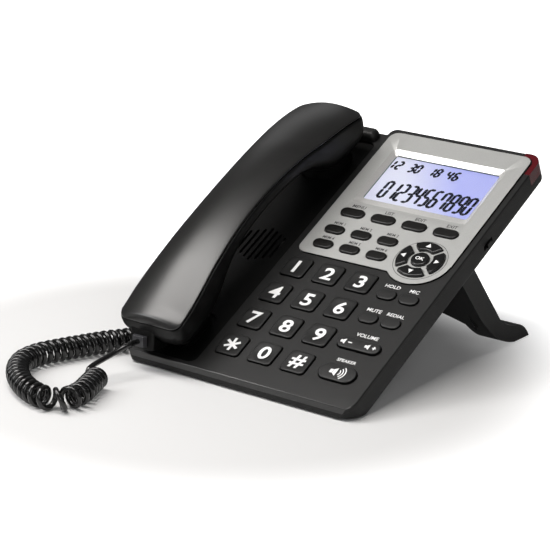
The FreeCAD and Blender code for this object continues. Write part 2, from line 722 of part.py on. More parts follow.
def lower_case():
    """The bottom half: a tray with posts, sockets and slots."""
    below = box(-HALF_WIDTH, HALF_WIDTH, -CUT_REACH, BODY_LENGTH, -SLAB_DEPTH, SPLIT_N)
    shell = slab_outside().common(below).cut(slab_cavity())
    tube_radius = SCREW_HEAD_RADIUS + 1.4
    tubes = [disc(x, v, tube_radius, BOTTOM_N + 0.2, SCREW_SEAT_N) for x, v in SCREW_PLACES]
    shell = fused([shell, loudspeaker_ring()] + board_posts() + tubes)
    length, height, _ = SWITCH_KNOB
    slot_length, slot_height = length + 2 * (SWITCH_TRAVEL + FIT_GAP), height + 2 * FIT_GAP
    tools = [
        lamp_block(0, -LAMP_DEPTH),
        plug_opening(2 * WALL),
        line_opening(2 * WALL),
        cuboid(HALF_WIDTH, SWITCH_V, SWITCH_N, 3 * WALL, slot_length, slot_height),
    ]
    for x, v in SCREW_PLACES:
        tools.append(disc(x, v, SCREW_HEAD_RADIUS + SCREW_CLEARANCE, BOTTOM_N - 1, BOTTOM_N + WALL))
        tools.append(disc(x, v, SCREW_RADIUS + SCREW_CLEARANCE, BOTTOM_N - 1, 0))
    tools += [to_slab(tongue) for tongue in stand_hooks(FIT_GAP)]
    tools += [to_slab(foot) for foot in front_feet()]
    for side in (-1, 1):
        tools.append(disc(side * FOOT_X, BUMPER_V, BUMPER_RADIUS, BOTTOM_N - 1, BOTTOM_N + FOOT_PAD_SINK))
    for tool in tools:
        shell = shell.cut(tool)
    return shell


def stand_hooks(grow):
    """Four tongues that go up into the slab from the stand's top, or their slots."""
    width, thickness, height = STAND_HOOK
    tongues = []
    for x in STAND_HOOK_PLACES:
        over_leg = abs(x) > STAND_HALF_WIDTH - STAND_LEG_WIDTH
        y = (STAND_TOP_FRONT_Y + STAND_TOP_REAR_Y) / 2 if over_leg else STAND_TOP_FRONT_Y + thickness
        v = y * COS + (underside_z(y) - FRONT_HEIGHT) * SIN
        low, high = BOTTOM_N - STAND_HOOK_ROOT, BOTTOM_N + height
        tongue = cuboid(x, v, (low + high) / 2, width + 2 * grow, thickness + 2 * grow, high - low)
        tongues.append(to_world(tongue))
    return tongues


def number_key(x, v):
    """A square key with a soft dished top, its skirt and its flange."""
    width, height = NUMBER_KEY_WIDTH, NUMBER_KEY_HEIGHT
    cap = rounded(x, v, width, height, NUMBER_KEY_CORNER, FLANGE_BOTTOM_N, NUMBER_KEY_RISE)
    cap = soften(cap, KEY_EDGE_RADIUS, lambda e: lies_at(e, NUMBER_KEY_RISE))
    dish_centre = Vector(x, v, NUMBER_KEY_RISE - DISH_DEPTH + DISH_RADIUS)
    cap = cap.cut(Part.makeSphere(DISH_RADIUS, dish_centre))
    ledge = 2 * KEY_FLANGE
    flange = rounded(x, v, width + ledge, height + ledge, NUMBER_KEY_CORNER, FLANGE_BOTTOM_N, FLANGE_TOP_N)
    return fused([cap, flange])


def pill_key(x, v, size, top):
    """A key with round ends, its skirt and its flange."""
    width, height = size
    cap = rounded(x, v, width, height, height, FLANGE_BOTTOM_N, top)
    cap = soften(cap, KEY_EDGE_RADIUS, lambda e: lies_at(e, top))
    ledge = 2 * SMALL_KEY_FLANGE
    flange = rounded(x, v, width + ledge, height + ledge, height, FLANGE_BOTTOM_N, FLANGE_TOP_N)
    return fused([cap, flange])


def nav_keys():
    """Four arrow keys round a centre key."""
    top = PANEL_RISE + NAV_KEY_RISE
    caps = nav_sectors(0, FLANGE_TOP_N, top)
    ledges = nav_sectors(NAV_KEY_FLANGE, FLANGE_BOTTOM_N, FLANGE_TOP_N)
    caps.append(disc(*NAV_PLACE, NAV_CENTRE_RADIUS, FLANGE_TOP_N, top))
    ledges.append(disc(*NAV_PLACE, NAV_CENTRE_RADIUS + NAV_KEY_FLANGE, FLANGE_BOTTOM_N, FLANGE_TOP_N))
    keys = {}
    for name, cap, ledge in zip(("right", "up", "left", "down", "centre"), caps, ledges):
        cap = soften(cap, KEY_EDGE_RADIUS, lambda e: lies_at(e, top))
        keys["nav_key_" + name] = fused([cap, ledge])
    return keys


def volume_rocker():
    """A two-way key on a pin across its middle."""
    x, v = ROCKER_PLACE
    width, height = ROCKER_SIZE
    cap = rounded(x, v, width, height, height, -FACE_WALL, ROCKER_RISE)
    cap = soften(cap, KEY_EDGE_RADIUS, lambda e: lies_at(e, ROCKER_RISE))
    stem_width, stem_length = 2 * ROCKER_EAR, height - ROCKER_EAR
    stem_height = -FACE_WALL - ROCKER_PIN_N + ROCKER_EAR
    stem = cuboid(x, v, -FACE_WALL - stem_height / 2, stem_width, stem_length, stem_height)
    return fused([cap, stem, rocker_pin(ROCKER_PIN_RADIUS, ROCKER_PIN_REACH)])


def display_panel():
    """The metallic plate with its key openings and a sloped frame round the window."""
    sheet = panel_outline(0, PANEL_RISE - PANEL_THICKNESS, PANEL_RISE)
    x, v = (DISPLAY_LEFT + DISPLAY_RIGHT) / 2, (DISPLAY_FRONT + DISPLAY_REAR) / 2
    width, height = DISPLAY_RIGHT - DISPLAY_LEFT, DISPLAY_REAR - DISPLAY_FRONT
    funnel_bottom = WINDOW_TOP_N
    frame = rounded(x, v, width - 0.4, height - 0.4, DISPLAY_CORNER, funnel_bottom, PANEL_RISE)
    sheet = fused([sheet, frame])
    top = outline(rectangle(x, v, width - 1.5, height - 1.5, DISPLAY_CORNER), PANEL_RISE + 0.01)
    shift = (DISPLAY_SLOPE_FRONT - DISPLAY_SLOPE) / 2
    bottom_size = (width - 2 * DISPLAY_SLOPE, height - DISPLAY_SLOPE - DISPLAY_SLOPE_FRONT)
    bottom = outline(rectangle(x, v + shift, *bottom_size, DISPLAY_CORNER), funnel_bottom - 0.01)
    funnel = Part.makeLoft([bottom, top], True, True)
    return sheet.cut(funnel).cut(key_openings(FIT_GAP, -5, 5))


def display_window():
    """Clear window under the sloped frame."""
    return box(
        DISPLAY_LEFT + FIT_GAP,
        DISPLAY_RIGHT - FIT_GAP,
        DISPLAY_FRONT + FIT_GAP,
        DISPLAY_REAR - FIT_GAP,
        WINDOW_TOP_N - WINDOW_THICKNESS,
        WINDOW_TOP_N,
    )


def display_module():
    """Backlit glass in its frame, between the board and the window."""
    return box(
        DISPLAY_LEFT - MODULE_MARGIN,
        DISPLAY_RIGHT + MODULE_MARGIN,
        DISPLAY_FRONT - MODULE_MARGIN,
        DISPLAY_REAR + MODULE_MARGIN,
        BOARD_TOP_N,
        WINDOW_TOP_N - WINDOW_THICKNESS,
    )


def message_lamp():
    """Clear red block that wraps the rear right corner."""
    corner = slab_outside().common(lamp_block(-LAMP_FIT_GAP, -LAMP_DEPTH + LAMP_FIT_GAP))
    return corner.cut(plate(slab_outline(LAMP_WALL), -SLAB_DEPTH, -FACE_WALL))


def section(v, half_width, parting, reach, squareness):
    """Closed half-round section of the handset at one station."""
    steps = 14
    points = []
    for i in range(steps + 1):
        turn = math.pi * i / steps
        c, s = math.cos(turn), math.sin(turn)
        x = HANDSET_X + half_width * math.copysign(abs(c) ** (2 / squareness), c)
        points.append(Vector(x, v, parting + reach * abs(s) ** (2 / squareness)))
    points[0] = Vector(HANDSET_X + half_width, v, parting)
    points[-1] = Vector(HANDSET_X - half_width, v, parting)
    curve = Part.BSplineCurve()
    curve.interpolate(points)
    return Part.Wire([curve.toShape(), Part.LineSegment(points[-1], points[0]).toShape()])


def shell_loft(upper, inset):
    """Solid between the parting line and one side of the handset, drawn in by inset."""
    stations = HANDSET_STATIONS[2:-2] if inset else HANDSET_STATIONS
    squareness = SHELL_SQUARENESS_TOP if upper else SHELL_SQUARENESS_BOTTOM
    way = 1 if upper else -1
    wires = []
    for v, half_width, parting, top, bottom in stations:
        edge = parting + way * (PARTING_GROOVE / 2 - (inset and 1.0))
        far = (top if upper else bottom) - way * inset
        wires.append(section(v, half_width - inset, edge, far - edge, squareness))
    return Part.makeLoft(wires, True, False)


def jack_block():
    """Block round the handset's socket, upright."""
    height = HANDSET_JACK_TOP_Z - HANDSET_JACK_BOTTOM_Z
    corner = Vector(HANDSET_JACK_X - HANDSET_JACK_WIDTH / 2, HANDSET_JACK_FRONT_Y, HANDSET_JACK_BOTTOM_Z)
    return Part.makeBox(HANDSET_JACK_WIDTH, HANDSET_JACK_DEPTH, height, corner)


def handset_upper_shell():
    """Gently crowned back of the handset, hollow."""
    return shell_loft(True, 0).cut(shell_loft(True, HANDSET_WALL))


def mouth_boss(inset, n0, n1):
    """Block behind the mouthpiece, drawn in by inset."""
    width, height = (size - 2 * inset for size in MOUTH_BOSS_SIZE)
    return rounded(HANDSET_X, MOUTH_WELL_V, width, height, MOUTH_BOSS_CORNER - inset, n0, n1)


def handset_lower_shell():
    """Front of the handset with ear and mouth bosses and the socket."""
    front_edges = HANDSET_JACK_FRONT_Y + 0.01
    block = to_slab(soften(jack_block(), JACK_BLOCK_RADIUS, lambda e: e.BoundBox.YMax < front_edges))
    mouth, ear = MOUTH_WELL_FLOOR_N + FIT_GAP, EAR_WELL_FLOOR_N + FIT_GAP
    inner_radius = EAR_BOSS_RADIUS - HANDSET_WALL
    solid = fused(
        [
            shell_loft(False, 0),
            block,
            mouth_boss(0, mouth, BOSS_TOP_N),
            disc(HANDSET_X, EAR_WELL_V, EAR_BOSS_RADIUS, ear, BOSS_TOP_N),
        ]
    )
    hollow = fused(
        [
            shell_loft(False, HANDSET_WALL),
            disc(HANDSET_X, EAR_WELL_V, inner_radius, ear + HANDSET_WALL, BOSS_HOLLOW_TOP_N),
            mouth_boss(HANDSET_WALL, mouth + HANDSET_WALL, BOSS_HOLLOW_TOP_N),
        ]
    )
    tools = [hollow, handset_plug_block(FIT_GAP)]
    tools += [disc(x, v, SOUND_HOLE_RADIUS, ear - 1, ear + 2 * HANDSET_WALL) for x, v in ear_holes()]
    for i in (-1, 0, 1):
        x = HANDSET_X + i * MOUTH_HOLE_PITCH
        tools.append(disc(x, MOUTH_WELL_V, SOUND_HOLE_RADIUS, mouth - 1, mouth + 2 * HANDSET_WALL))
    for tool in tools:
        solid = solid.cut(tool)
    return solid


def ear_holes():
    """Centres of the earpiece's ring of holes, clear of the hook's plunger."""
    holes = []
    for i in range(EAR_HOLES):
        turn = 2 * math.pi * (i + 0.5) / EAR_HOLES
        sideways, along = EAR_HOLE_RING * math.cos(turn), EAR_HOLE_RING * math.sin(turn)
        holes.append((HANDSET_X + sideways, EAR_WELL_V + along))
    return holes


def handset_plug_block(grow):
    """Plug in the handset's socket, drawn upright and turned into the slab's frame."""
    front = handset_cord_end()
    half_w, half_h = PLUG_WIDTH / 2 + grow, PLUG_HEIGHT / 2 + grow
    corner = front - Vector(half_w, 0, half_h)
    block = Part.makeBox(2 * half_w, PLUG_LENGTH + grow, 2 * half_h, corner)
    return to_slab(block)


def base_plug():
    """Plug in the base's left wall."""
    x = -HALF_WIDTH - PLUG_PROUD + PLUG_LENGTH / 2
    return cuboid(x, BASE_JACK_V, BASE_JACK_N, PLUG_LENGTH, PLUG_WIDTH, PLUG_HEIGHT)


def base_jack():
    """Socket block on the floor inside the left wall."""
    left = -HALF_WIDTH + WALL
    half = PLUG_WIDTH / 2 + FIT_GAP + SOCKET_WALL
    top = BASE_JACK_N + PLUG_HEIGHT / 2 + FIT_GAP + SOCKET_ROOF
    block = box(left, left + PLUG_LENGTH, BASE_JACK_V - half, BASE_JACK_V + half, BOTTOM_N + WALL, top)
    return block.cut(plug_opening(PLUG_LENGTH))


def line_jack():
    """Socket block on the floor inside the rear wall, for the line."""
    width, height = LINE_JACK_SIZE
    rear = CRADLE_LENGTH - WALL
    half = width / 2 + SOCKET_WALL
    top = LINE_JACK_N + height / 2 + SOCKET_ROOF
    block = box(LINE_JACK_X - half, LINE_JACK_X + half, rear - PLUG_LENGTH, rear, BOTTOM_N + WALL, top)
    return block.cut(line_opening(PLUG_LENGTH))


def hook_plunger():
    """Sprung plunger that the earpiece presses, with the flange that keeps it in."""
    width, height = HOOK_SIZE
    low = BOTTOM_N + WALL + FIT_GAP
    stop = EAR_WELL_FLOOR_N - WALL - HOOK_TRAVEL - FIT_GAP
    column = rounded(HANDSET_X, EAR_WELL_V, width, height, HOOK_CORNER, low, EAR_WELL_FLOOR_N)
    flange_width, flange_height = width + 2 * HOOK_FLANGE, height + 2 * HOOK_FLANGE
    flange = rounded(HANDSET_X, EAR_WELL_V, flange_width, flange_height, HOOK_CORNER, low, stop)
    return fused([column, flange])


def ringer_switch():
    """Slide knob in the right wall, with the plate that keeps it in."""
    length, height, proud = SWITCH_KNOB
    inner = HALF_WIDTH - WALL - FIT_GAP
    outer = HALF_WIDTH + proud
    knob = cuboid((inner + outer) / 2, SWITCH_V, SWITCH_N, outer - inner, length, height)
    plate_length = length + 2 * (SWITCH_TRAVEL + SWITCH_PLATE_MARGIN)
    plate_height = height + 2 * SWITCH_PLATE_MARGIN
    inside = cuboid(inner - SWITCH_PLATE / 2, SWITCH_V, SWITCH_N, SWITCH_PLATE, plate_length, plate_height)
    return fused([knob, inside])


def main_board():
    """Printed board under the keys."""
    return box(BOARD_LEFT, BOARD_RIGHT, BOARD_FRONT, BOARD_REAR, BOARD_TOP_N - BOARD_THICKNESS, BOARD_TOP_N)


def keypad_mat():
    """Rubber sheet with a dome under each key."""
    top = BOARD_TOP_N + MAT_THICKNESS
    dome_top = FLANGE_BOTTOM_N - KEY_TRAVEL - FIT_GAP
    rear = DISPLAY_FRONT - MODULE_MARGIN - FIT_GAP
    sheet = box(BOARD_LEFT, BOARD_RIGHT, BOARD_FRONT, rear, BOARD_TOP_N, top)
    domes = [disc(x, v, DOME_RADIUS, top, dome_top) for _, x, v in number_keys()]
    domes += [disc(x, v, SMALL_DOME_RADIUS, top, dome_top) for _, x, v, _, _ in pill_keys()]
    domes.append(disc(*NAV_PLACE, SMALL_DOME_RADIUS, top, dome_top))
    for key in nav_sectors(0, 0, 1):
        centre = key.CenterOfMass
        domes.append(disc(centre.x, centre.y, SMALL_DOME_RADIUS, top, dome_top))
    return fused([sheet] + domes)


def loudspeaker_bottom():
    """Underside of the loudspeaker."""
    return CRADLE_FLOOR_N - WALL - LOUDSPEAKER_DEPTH


def loudspeaker():
    """Speaker under the grille: rim, cone basket and magnet."""
    top, low = CRADLE_FLOOR_N - WALL, loudspeaker_bottom()
    centre = (cradle_middle(), GRILLE_V)
    rim = disc(*centre, LOUDSPEAKER_RADIUS, top - LOUDSPEAKER_RIM, top)
    magnet = disc(*centre, MAGNET_RADIUS, low, top - LOUDSPEAKER_RIM)
    cone_bottom = Vector(*centre, top - CONE_DEPTH)
    hollow = Part.makeCone(MAGNET_RADIUS / 2, LOUDSPEAKER_RADIUS - LOUDSPEAKER_RIM, CONE_DEPTH, cone_bottom)
    basket_bottom = Vector(*centre, low + LOUDSPEAKER_RIM)
    height, mouth = LOUDSPEAKER_DEPTH - 2 * LOUDSPEAKER_RIM, LOUDSPEAKER_RADIUS - LOUDSPEAKER_RIM / 2
    basket = Part.makeCone(MAGNET_RADIUS, mouth, height, basket_bottom)
    return fused([rim, magnet, basket]).cut(hollow)


def receiver_capsule():
    """Sound capsule behind the earpiece holes."""
    low = EAR_WELL_FLOOR_N + FIT_GAP + HANDSET_WALL
    return disc(HANDSET_X, EAR_WELL_V, RECEIVER_RADIUS, low, low + RECEIVER_THICKNESS)


def microphone_capsule():
    """Microphone behind the mouthpiece holes."""
    low = MOUTH_WELL_FLOOR_N + FIT_GAP + HANDSET_WALL
    return disc(HANDSET_X, MOUTH_WELL_V, MICROPHONE_RADIUS, low, low + MICROPHONE_THICKNESS)


def case_screws():
    """Screws from below that hold the two halves together."""
    screws = []
    for x, v in SCREW_PLACES:
        head = disc(x, v, SCREW_HEAD_RADIUS, BOTTOM_N + WALL - SCREW_HEAD_HEIGHT, BOTTOM_N + WALL)
        shank = disc(x, v, SCREW_RADIUS, BOTTOM_N + WALL, SCREW_HOLE_TOP_N - 1)
        screws.append(fused([head, shank]))
    return grouped(screws)


def front_feet():
    """Two rubber feet under the front edge, upright."""
    height = FLOOR_GAP + FOOT_PAD_SINK
    return [Part.makeCylinder(FOOT_PAD_RADIUS, height, Vector(side * FOOT_X, FOOT_Y, 0)) for side in (-1, 1)]


def rear_bumpers():
    """Two rubber pads on the underside."""
    pads = []
    for side in (-1, 1):
        low = BOTTOM_N - BUMPER_RISE
        pad = disc(side * FOOT_X, BUMPER_V, BUMPER_RADIUS, low, BOTTOM_N + FOOT_PAD_SINK)
        pads.append(soften(pad, BUMPER_RISE / 2, lambda e: lies_at(e, low)))
    return grouped(pads)


def stand_curve():
    """Side view of one leg as edges in Y and Z, from the slab's underside round the foot and back."""

    def at(y, z):
        return Vector(0, y, z)

    top_front = at(STAND_TOP_FRONT_Y, underside_z(STAND_TOP_FRONT_Y))
    top_rear = at(STAND_TOP_REAR_Y, underside_z(STAND_TOP_REAR_Y))
    heel, toe = at(FOOT_HEEL_Y, STAND_PAD), at(FOOT_TOE_Y, STAND_PAD)
    shin, ankle = at(*STAND_SHIN), at(*STAND_ANKLE)
    instep, calf = at(*STAND_INSTEP), at(*STAND_CALF)
    return [
        Part.LineSegment(top_front, shin).toShape(),
        Part.Arc(shin, at(*STAND_SHIN_MIDDLE), ankle).toShape(),
        Part.Arc(ankle, at(*STAND_ANKLE_MIDDLE), heel).toShape(),
        Part.LineSegment(heel, toe).toShape(),
        Part.Arc(toe, at(*STAND_TOE_MIDDLE), instep).toShape(),
        Part.Arc(instep, at(*STAND_INSTEP_MIDDLE), calf).toShape(),
        Part.LineSegment(calf, top_rear).toShape(),
        Part.LineSegment(top_rear, top_front).toShape(),
    ]


def stand_leg(side):
    """One leg, at the left or right end of the stand."""
    outer = side * STAND_HALF_WIDTH
    face = Part.Face(Part.Wire(stand_curve()))
    leg = face.extrude(Vector(STAND_LEG_WIDTH, 0, 0))
    leg.translate(Vector(min(outer, outer - side * STAND_LEG_WIDTH), 0, 0))
    return leg


def stand_web():
    """Leaning plate between the legs, with a wide arch in its lower edge."""
    shin = stand_curve()[0]
    top, low = shin.Vertexes[0].Point, shin.Vertexes[1].Point
    lean = (low - top).normalize()
    inner = STAND_HALF_WIDTH - STAND_LEG_WIDTH / 2
    foot = top + lean * ((STAND_ARCH_FOOT_Z - top.z) / lean.z)
    crown = top + lean * ((STAND_ARCH_TOP_Z - top.z) / lean.z)
    side = Vector(inner, 0, 0)
    edges = [
        Part.LineSegment(foot - side, top - side).toShape(),
        Part.LineSegment(top - side, top + side).toShape(),
        Part.LineSegment(top + side, foot + side).toShape(),
        Part.Arc(foot + side, crown, foot - side).toShape(),
    ]
    thickness = Vector(0, -lean.z, lean.y) * STAND_PLATE_THICKNESS
    return Part.Face(Part.Wire(edges)).extrude(thickness)


def rear_stand():
    """Two legs joined by a leaning plate, with tongues that snap into the slab's underside."""
    whole = fused([stand_leg(-1), stand_leg(1), stand_web()])
    inside_slab = to_world(box(-BODY_WIDTH, BODY_WIDTH, -CUT_REACH, BODY_LENGTH + CUT_REACH, BOTTOM_N, BODY_WIDTH))
    return fused([whole.cut(inside_slab)] + stand_hooks(0))


def stand_pads():
    """Rubber pads under the stand's toes."""
    pads = []
    length = FOOT_TOE_Y - FOOT_HEEL_Y - 2 * STAND_PAD_MARGIN
    width = STAND_LEG_WIDTH - 2 * STAND_PAD_MARGIN
    for side in (-1, 1):
        x = side * (STAND_HALF_WIDTH - STAND_LEG_WIDTH / 2)
        corner = Vector(x - width / 2, FOOT_HEEL_Y + STAND_PAD_MARGIN, 0)
        pads.append(Part.makeBox(width, length, STAND_PAD, corner))
    return grouped(pads)


def curl_axis():
    """Points and directions along the curled stretch's axis, evenly spaced."""
    poles = [Vector(x, y, CURL_AXIS_Z) for x, y in CURL_ROUTE]
    curve = Part.BSplineCurve()
    curve.buildFromPoles(poles, False, 2)
    points = curve.discretize(Number=ROUTE_STEPS)
    return points, curve.length() / (ROUTE_STEPS - 1)


def curl_phases(points, step):
    """Turn angle of the curl at each point of the axis: the turns open where the axis bends."""
    phases = [0.0]
    last = len(points) - 1
    for i in range(1, len(points)):
        before, here, after = points[max(i - BEND_SPAN, 0)], points[i], points[min(i + BEND_SPAN, last)]
        bend = 0.0
        if BEND_SPAN <= i <= last - BEND_SPAN:
            bend = (here - before).getAngle(after - here) / (BEND_SPAN * step)
        pitch = CURL_PITCH / (1 - CURL_RADIUS * bend)
        phases.append(phases[-1] + 2 * math.pi * step / pitch)
    return phases


def curl_point(points, step, phases, turn):
    """The wire's centre where the curl has turned by an angle."""
    i = next((k for k, phase in enumerate(phases) if phase >= turn), len(phases) - 1)
    i = max(i, 1)
    share = (turn - phases[i - 1]) / (phases[i] - phases[i - 1])
    centre = points[i - 1] + (points[i] - points[i - 1]) * share
    along = (points[min(i + 4, len(points) - 1)] - points[max(i - 5, 0)]).normalize()
    sideways = along.cross(Vector(0, 0, 1)).normalize()
    return centre + Vector(0, 0, CURL_RADIUS * math.cos(turn)) + sideways * (CURL_RADIUS * math.sin(turn))


def arc_about(start, corner, end):
    """The arc that leaves start towards corner and arrives at end from corner."""
    reach = (corner - start).Length
    half_chord = (start + end) * 0.5
    drop = (half_chord - corner).Length
    if drop < 1e-6:
        return Part.LineSegment(start, end).toShape()
    radius = reach * (end - start).Length / 2 / drop
    middle = corner + (half_chord - corner) * ((math.hypot(reach, radius) - radius) / drop)
    return Part.Arc(start, middle, end).toShape()


def biarc(start, leaving, end, arriving):
    """Two tangent arcs between two points with given directions."""
    chord = end - start
    total = leaving + arriving
    spread = 2 * (1 - leaving.dot(arriving))
    root = math.sqrt(chord.dot(total) ** 2 + spread * chord.dot(chord))
    reach = (root - chord.dot(total)) / spread if spread > 1e-9 else chord.Length / 4
    first, second = start + leaving * reach, end - arriving * reach
    joint = (first + second) * 0.5
    return [arc_about(start, first, joint), arc_about(joint, second, end)]


def curl_places():
    """Points and headings at each quarter turn of the curl."""
    points, step = curl_axis()
    phases = curl_phases(points, step)
    turn = CURL_START_TURN
    whole_turns = int((phases[-1] - CURL_END_TURN) / (2 * math.pi))
    last_turn = 2 * math.pi * whole_turns + CURL_END_TURN
    places = []
    while turn < last_turn + 0.01:
        here = curl_point(points, step, phases, turn)
        ahead = curl_point(points, step, phases, turn + HEADING_STEP)
        behind = curl_point(points, step, phases, turn - HEADING_STEP)
        places.append((here, (ahead - behind).normalize()))
        turn += math.pi / 2
    return places


def cord_path():
    """Centre line of the whole cord as one chain of edges, from the base plug to the handset plug."""
    plug = to_world(base_plug()).BoundBox
    start = Vector(plug.XMin, plug.Center.y, plug.Center.z)
    lead_end = start - Vector(WIRE_DIAMETER, 0, 0)
    end = handset_cord_end()
    tail_end = end - Vector(0, WIRE_DIAMETER, 0)
    stops = [(lead_end, Vector(-1, 0, 0))] + curl_places()
    stops += [(TAIL_START, TAIL_DIRECTION), (tail_end, Vector(0, 1, 0))]
    edges = [Part.LineSegment(start, lead_end).toShape()]
    for here, following in zip(stops, stops[1:]):
        edges += biarc(*here, *following)
    edges.append(Part.LineSegment(tail_end, end).toShape())
    return edges


def handset_cord_end():
    """Where the cord goes into the handset's plug."""
    z = (HANDSET_JACK_BOTTOM_Z + HANDSET_JACK_TOP_Z) / 2 - PLUG_DROP
    return Vector(HANDSET_JACK_X, HANDSET_JACK_FRONT_Y - PLUG_PROUD, z)


def least_gap(edges):
    """Smallest space between two stretches of the wire that aren't neighbours."""
    samples = []
    travelled = 0.0
    for edge in edges:
        first, last = edge.FirstParameter, edge.LastParameter
        for share in (0.0, 0.5):
            samples.append((travelled + edge.Length * share, edge.valueAt(first + share * (last - first))))
        travelled += edge.Length
    least = travelled
    for i, (length, point) in enumerate(samples):
        for other_length, other in samples[i + 1 :]:
            if other_length - length > 3 * WIRE_DIAMETER:
                least = min(least, point.distanceToPoint(other))
    return least - WIRE_DIAMETER


def handset_cord():
    """The whole cord as one unbroken tube."""
    edges = cord_path()
    radii = [edge.Curve.Radius for edge in edges if hasattr(edge.Curve, "Radius")]
    path = Part.Wire(edges)
    start = edges[0].Vertexes[0].Point
    ring = Part.Wire(Part.makeCircle(WIRE_DIAMETER / 2, start, Vector(-1, 0, 0)))
    tube = path.makePipeShell([ring], True, False)
    section_area = math.pi * WIRE_DIAMETER**2 / 4
    print(f"cord length {path.Length:.1f}, least radius {min(radii):.2f}, least gap {least_gap(edges):.2f}")
    print(f"cord volume {tube.Volume:.0f}, section times length {section_area * path.Length:.0f}")
    return tube


def tilted_nodes():
    """Nodes drawn in the slab's frame."""
    nodes = {
        "lower_case": lower_case(),
        "upper_case": upper_case(),
        "display_panel": display_panel(),
        "display_window": display_window(),
        "display_module": display_module(),
        "message_lamp": message_lamp(),
        "volume_rocker": volume_rocker(),
        "hook_plunger": hook_plunger(),
        "ringer_switch": ringer_switch(),
        "handset_upper_shell": handset_upper_shell(),
        "handset_lower_shell": handset_lower_shell(),
        "handset_plug": handset_plug_block(0),
        "receiver_capsule": receiver_capsule(),
        "microphone_capsule": microphone_capsule(),
        "base_plug": base_plug(),
        "base_jack": base_jack(),
        "line_jack": line_jack(),
        "loudspeaker": loudspeaker(),
        "main_board": main_board(),
        "keypad_mat": keypad_mat(),
        "case_screws": case_screws(),
        "rear_bumpers": rear_bumpers(),
    }
    for name, x, v in number_keys():
        nodes[name] = number_key(x, v)
    for name, x, v, size, top in pill_keys():
        nodes[name] = pill_key(x, v, size, top)
    nodes.update(nav_keys())
    return nodes


def upright_nodes():
    """Nodes drawn upright."""
    return {
        "rear_stand": rear_stand(),
        "stand_pads": stand_pads(),
        "front_feet": grouped(front_feet()),
        "handset_cord": handset_cord(),
    }


def main():
    """Builds every node, centres the whole over the origin and writes the files."""
    nodes = {name: to_world(shape) for name, shape in tilted_nodes().items()}
    nodes.update(upright_nodes())
    boxes = [nodes[name].optimalBoundingBox(False) for name in OUTERMOST_NODES]
    right, left = max(b.XMax for b in boxes), min(b.XMin for b in boxes)
    rear, front = max(b.YMax for b in boxes), min(b.YMin for b in boxes)
    shift = Vector(-(left + right) / 2, -(front + rear) / 2, -min(b.ZMin for b in boxes))
    print(f"shift to the origin: {shift.x:.4f} {shift.y:.4f} {shift.z:.4f}")
    os.makedirs("parts", exist_ok=True)
    for name, shape in nodes.items():
        shape.translate(shift)
        shape.exportStep(f"parts/{name}.step")
        if not shape.isValid():
            print("not valid:", name)
        print(f"{name}: {len(shape.Solids)} solid(s), volume {shape.Volume:.1f}")


main()
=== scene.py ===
# Looks of a corded desk telephone with a big-button keypad, a display and a handset on a curly cord.
# Most pieces are modelled in the slab's own frame, in millimetres: X to the right, V up the slope of
# the face and N straight out of it, with N = 0 on the face. They are then set down on the frame.

import json
import logging
import math
from contextlib import contextmanager
from dataclasses import dataclass
from enum import Enum
from typing import Callable, Iterator, NamedTuple, Sequence

import bpy
from mathutils import Matrix, Vector

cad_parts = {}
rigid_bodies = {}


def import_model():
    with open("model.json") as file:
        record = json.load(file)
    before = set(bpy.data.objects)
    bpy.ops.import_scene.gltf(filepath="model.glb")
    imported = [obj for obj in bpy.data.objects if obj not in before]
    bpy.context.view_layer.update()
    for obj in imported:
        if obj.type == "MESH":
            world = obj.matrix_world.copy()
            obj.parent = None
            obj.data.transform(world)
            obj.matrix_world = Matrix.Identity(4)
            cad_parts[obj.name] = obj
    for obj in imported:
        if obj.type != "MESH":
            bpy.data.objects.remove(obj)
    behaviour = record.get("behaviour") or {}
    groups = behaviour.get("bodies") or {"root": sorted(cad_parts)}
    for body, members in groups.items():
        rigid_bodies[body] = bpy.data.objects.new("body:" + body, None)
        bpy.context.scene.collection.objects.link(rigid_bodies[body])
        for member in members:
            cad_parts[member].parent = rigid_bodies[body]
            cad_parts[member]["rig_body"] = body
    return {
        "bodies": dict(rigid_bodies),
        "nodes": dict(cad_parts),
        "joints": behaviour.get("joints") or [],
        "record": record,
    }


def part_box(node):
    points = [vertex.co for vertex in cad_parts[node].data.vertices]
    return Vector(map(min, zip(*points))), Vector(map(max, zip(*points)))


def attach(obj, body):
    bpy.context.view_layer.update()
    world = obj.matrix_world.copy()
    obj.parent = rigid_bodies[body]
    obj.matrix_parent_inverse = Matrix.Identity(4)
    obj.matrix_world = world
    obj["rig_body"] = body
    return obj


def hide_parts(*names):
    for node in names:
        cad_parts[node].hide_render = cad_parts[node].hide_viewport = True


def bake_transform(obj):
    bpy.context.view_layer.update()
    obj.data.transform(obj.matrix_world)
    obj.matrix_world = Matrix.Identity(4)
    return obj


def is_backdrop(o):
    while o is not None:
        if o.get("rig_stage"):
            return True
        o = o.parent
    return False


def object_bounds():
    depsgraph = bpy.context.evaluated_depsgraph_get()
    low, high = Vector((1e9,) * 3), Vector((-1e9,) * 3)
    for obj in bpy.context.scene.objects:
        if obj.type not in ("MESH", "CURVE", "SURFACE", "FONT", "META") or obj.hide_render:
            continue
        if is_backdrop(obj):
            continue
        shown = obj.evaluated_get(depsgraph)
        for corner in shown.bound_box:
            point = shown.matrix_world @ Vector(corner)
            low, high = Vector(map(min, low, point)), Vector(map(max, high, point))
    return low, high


LOG = logging.getLogger("telephone")

MM = 0.001
TILT = math.radians(28.4)
FRONT_HEIGHT = 7.7
HALF_WIDTH = 77.5
OUT = (0.0, -math.sin(TILT), math.cos(TILT))

Point = tuple[float, float, float]
Colour = tuple[float, float, float]
Spot = tuple[float, float]
Object = bpy.types.Object
Material = bpy.types.Material
Socket = bpy.types.NodeSocket


class Way(Enum):
    """Directions of the arrow keys, with the turn of their sign."""

    RIGHT = -90.0
    UP = 0.0
    LEFT = 90.0
    DOWN = 180.0


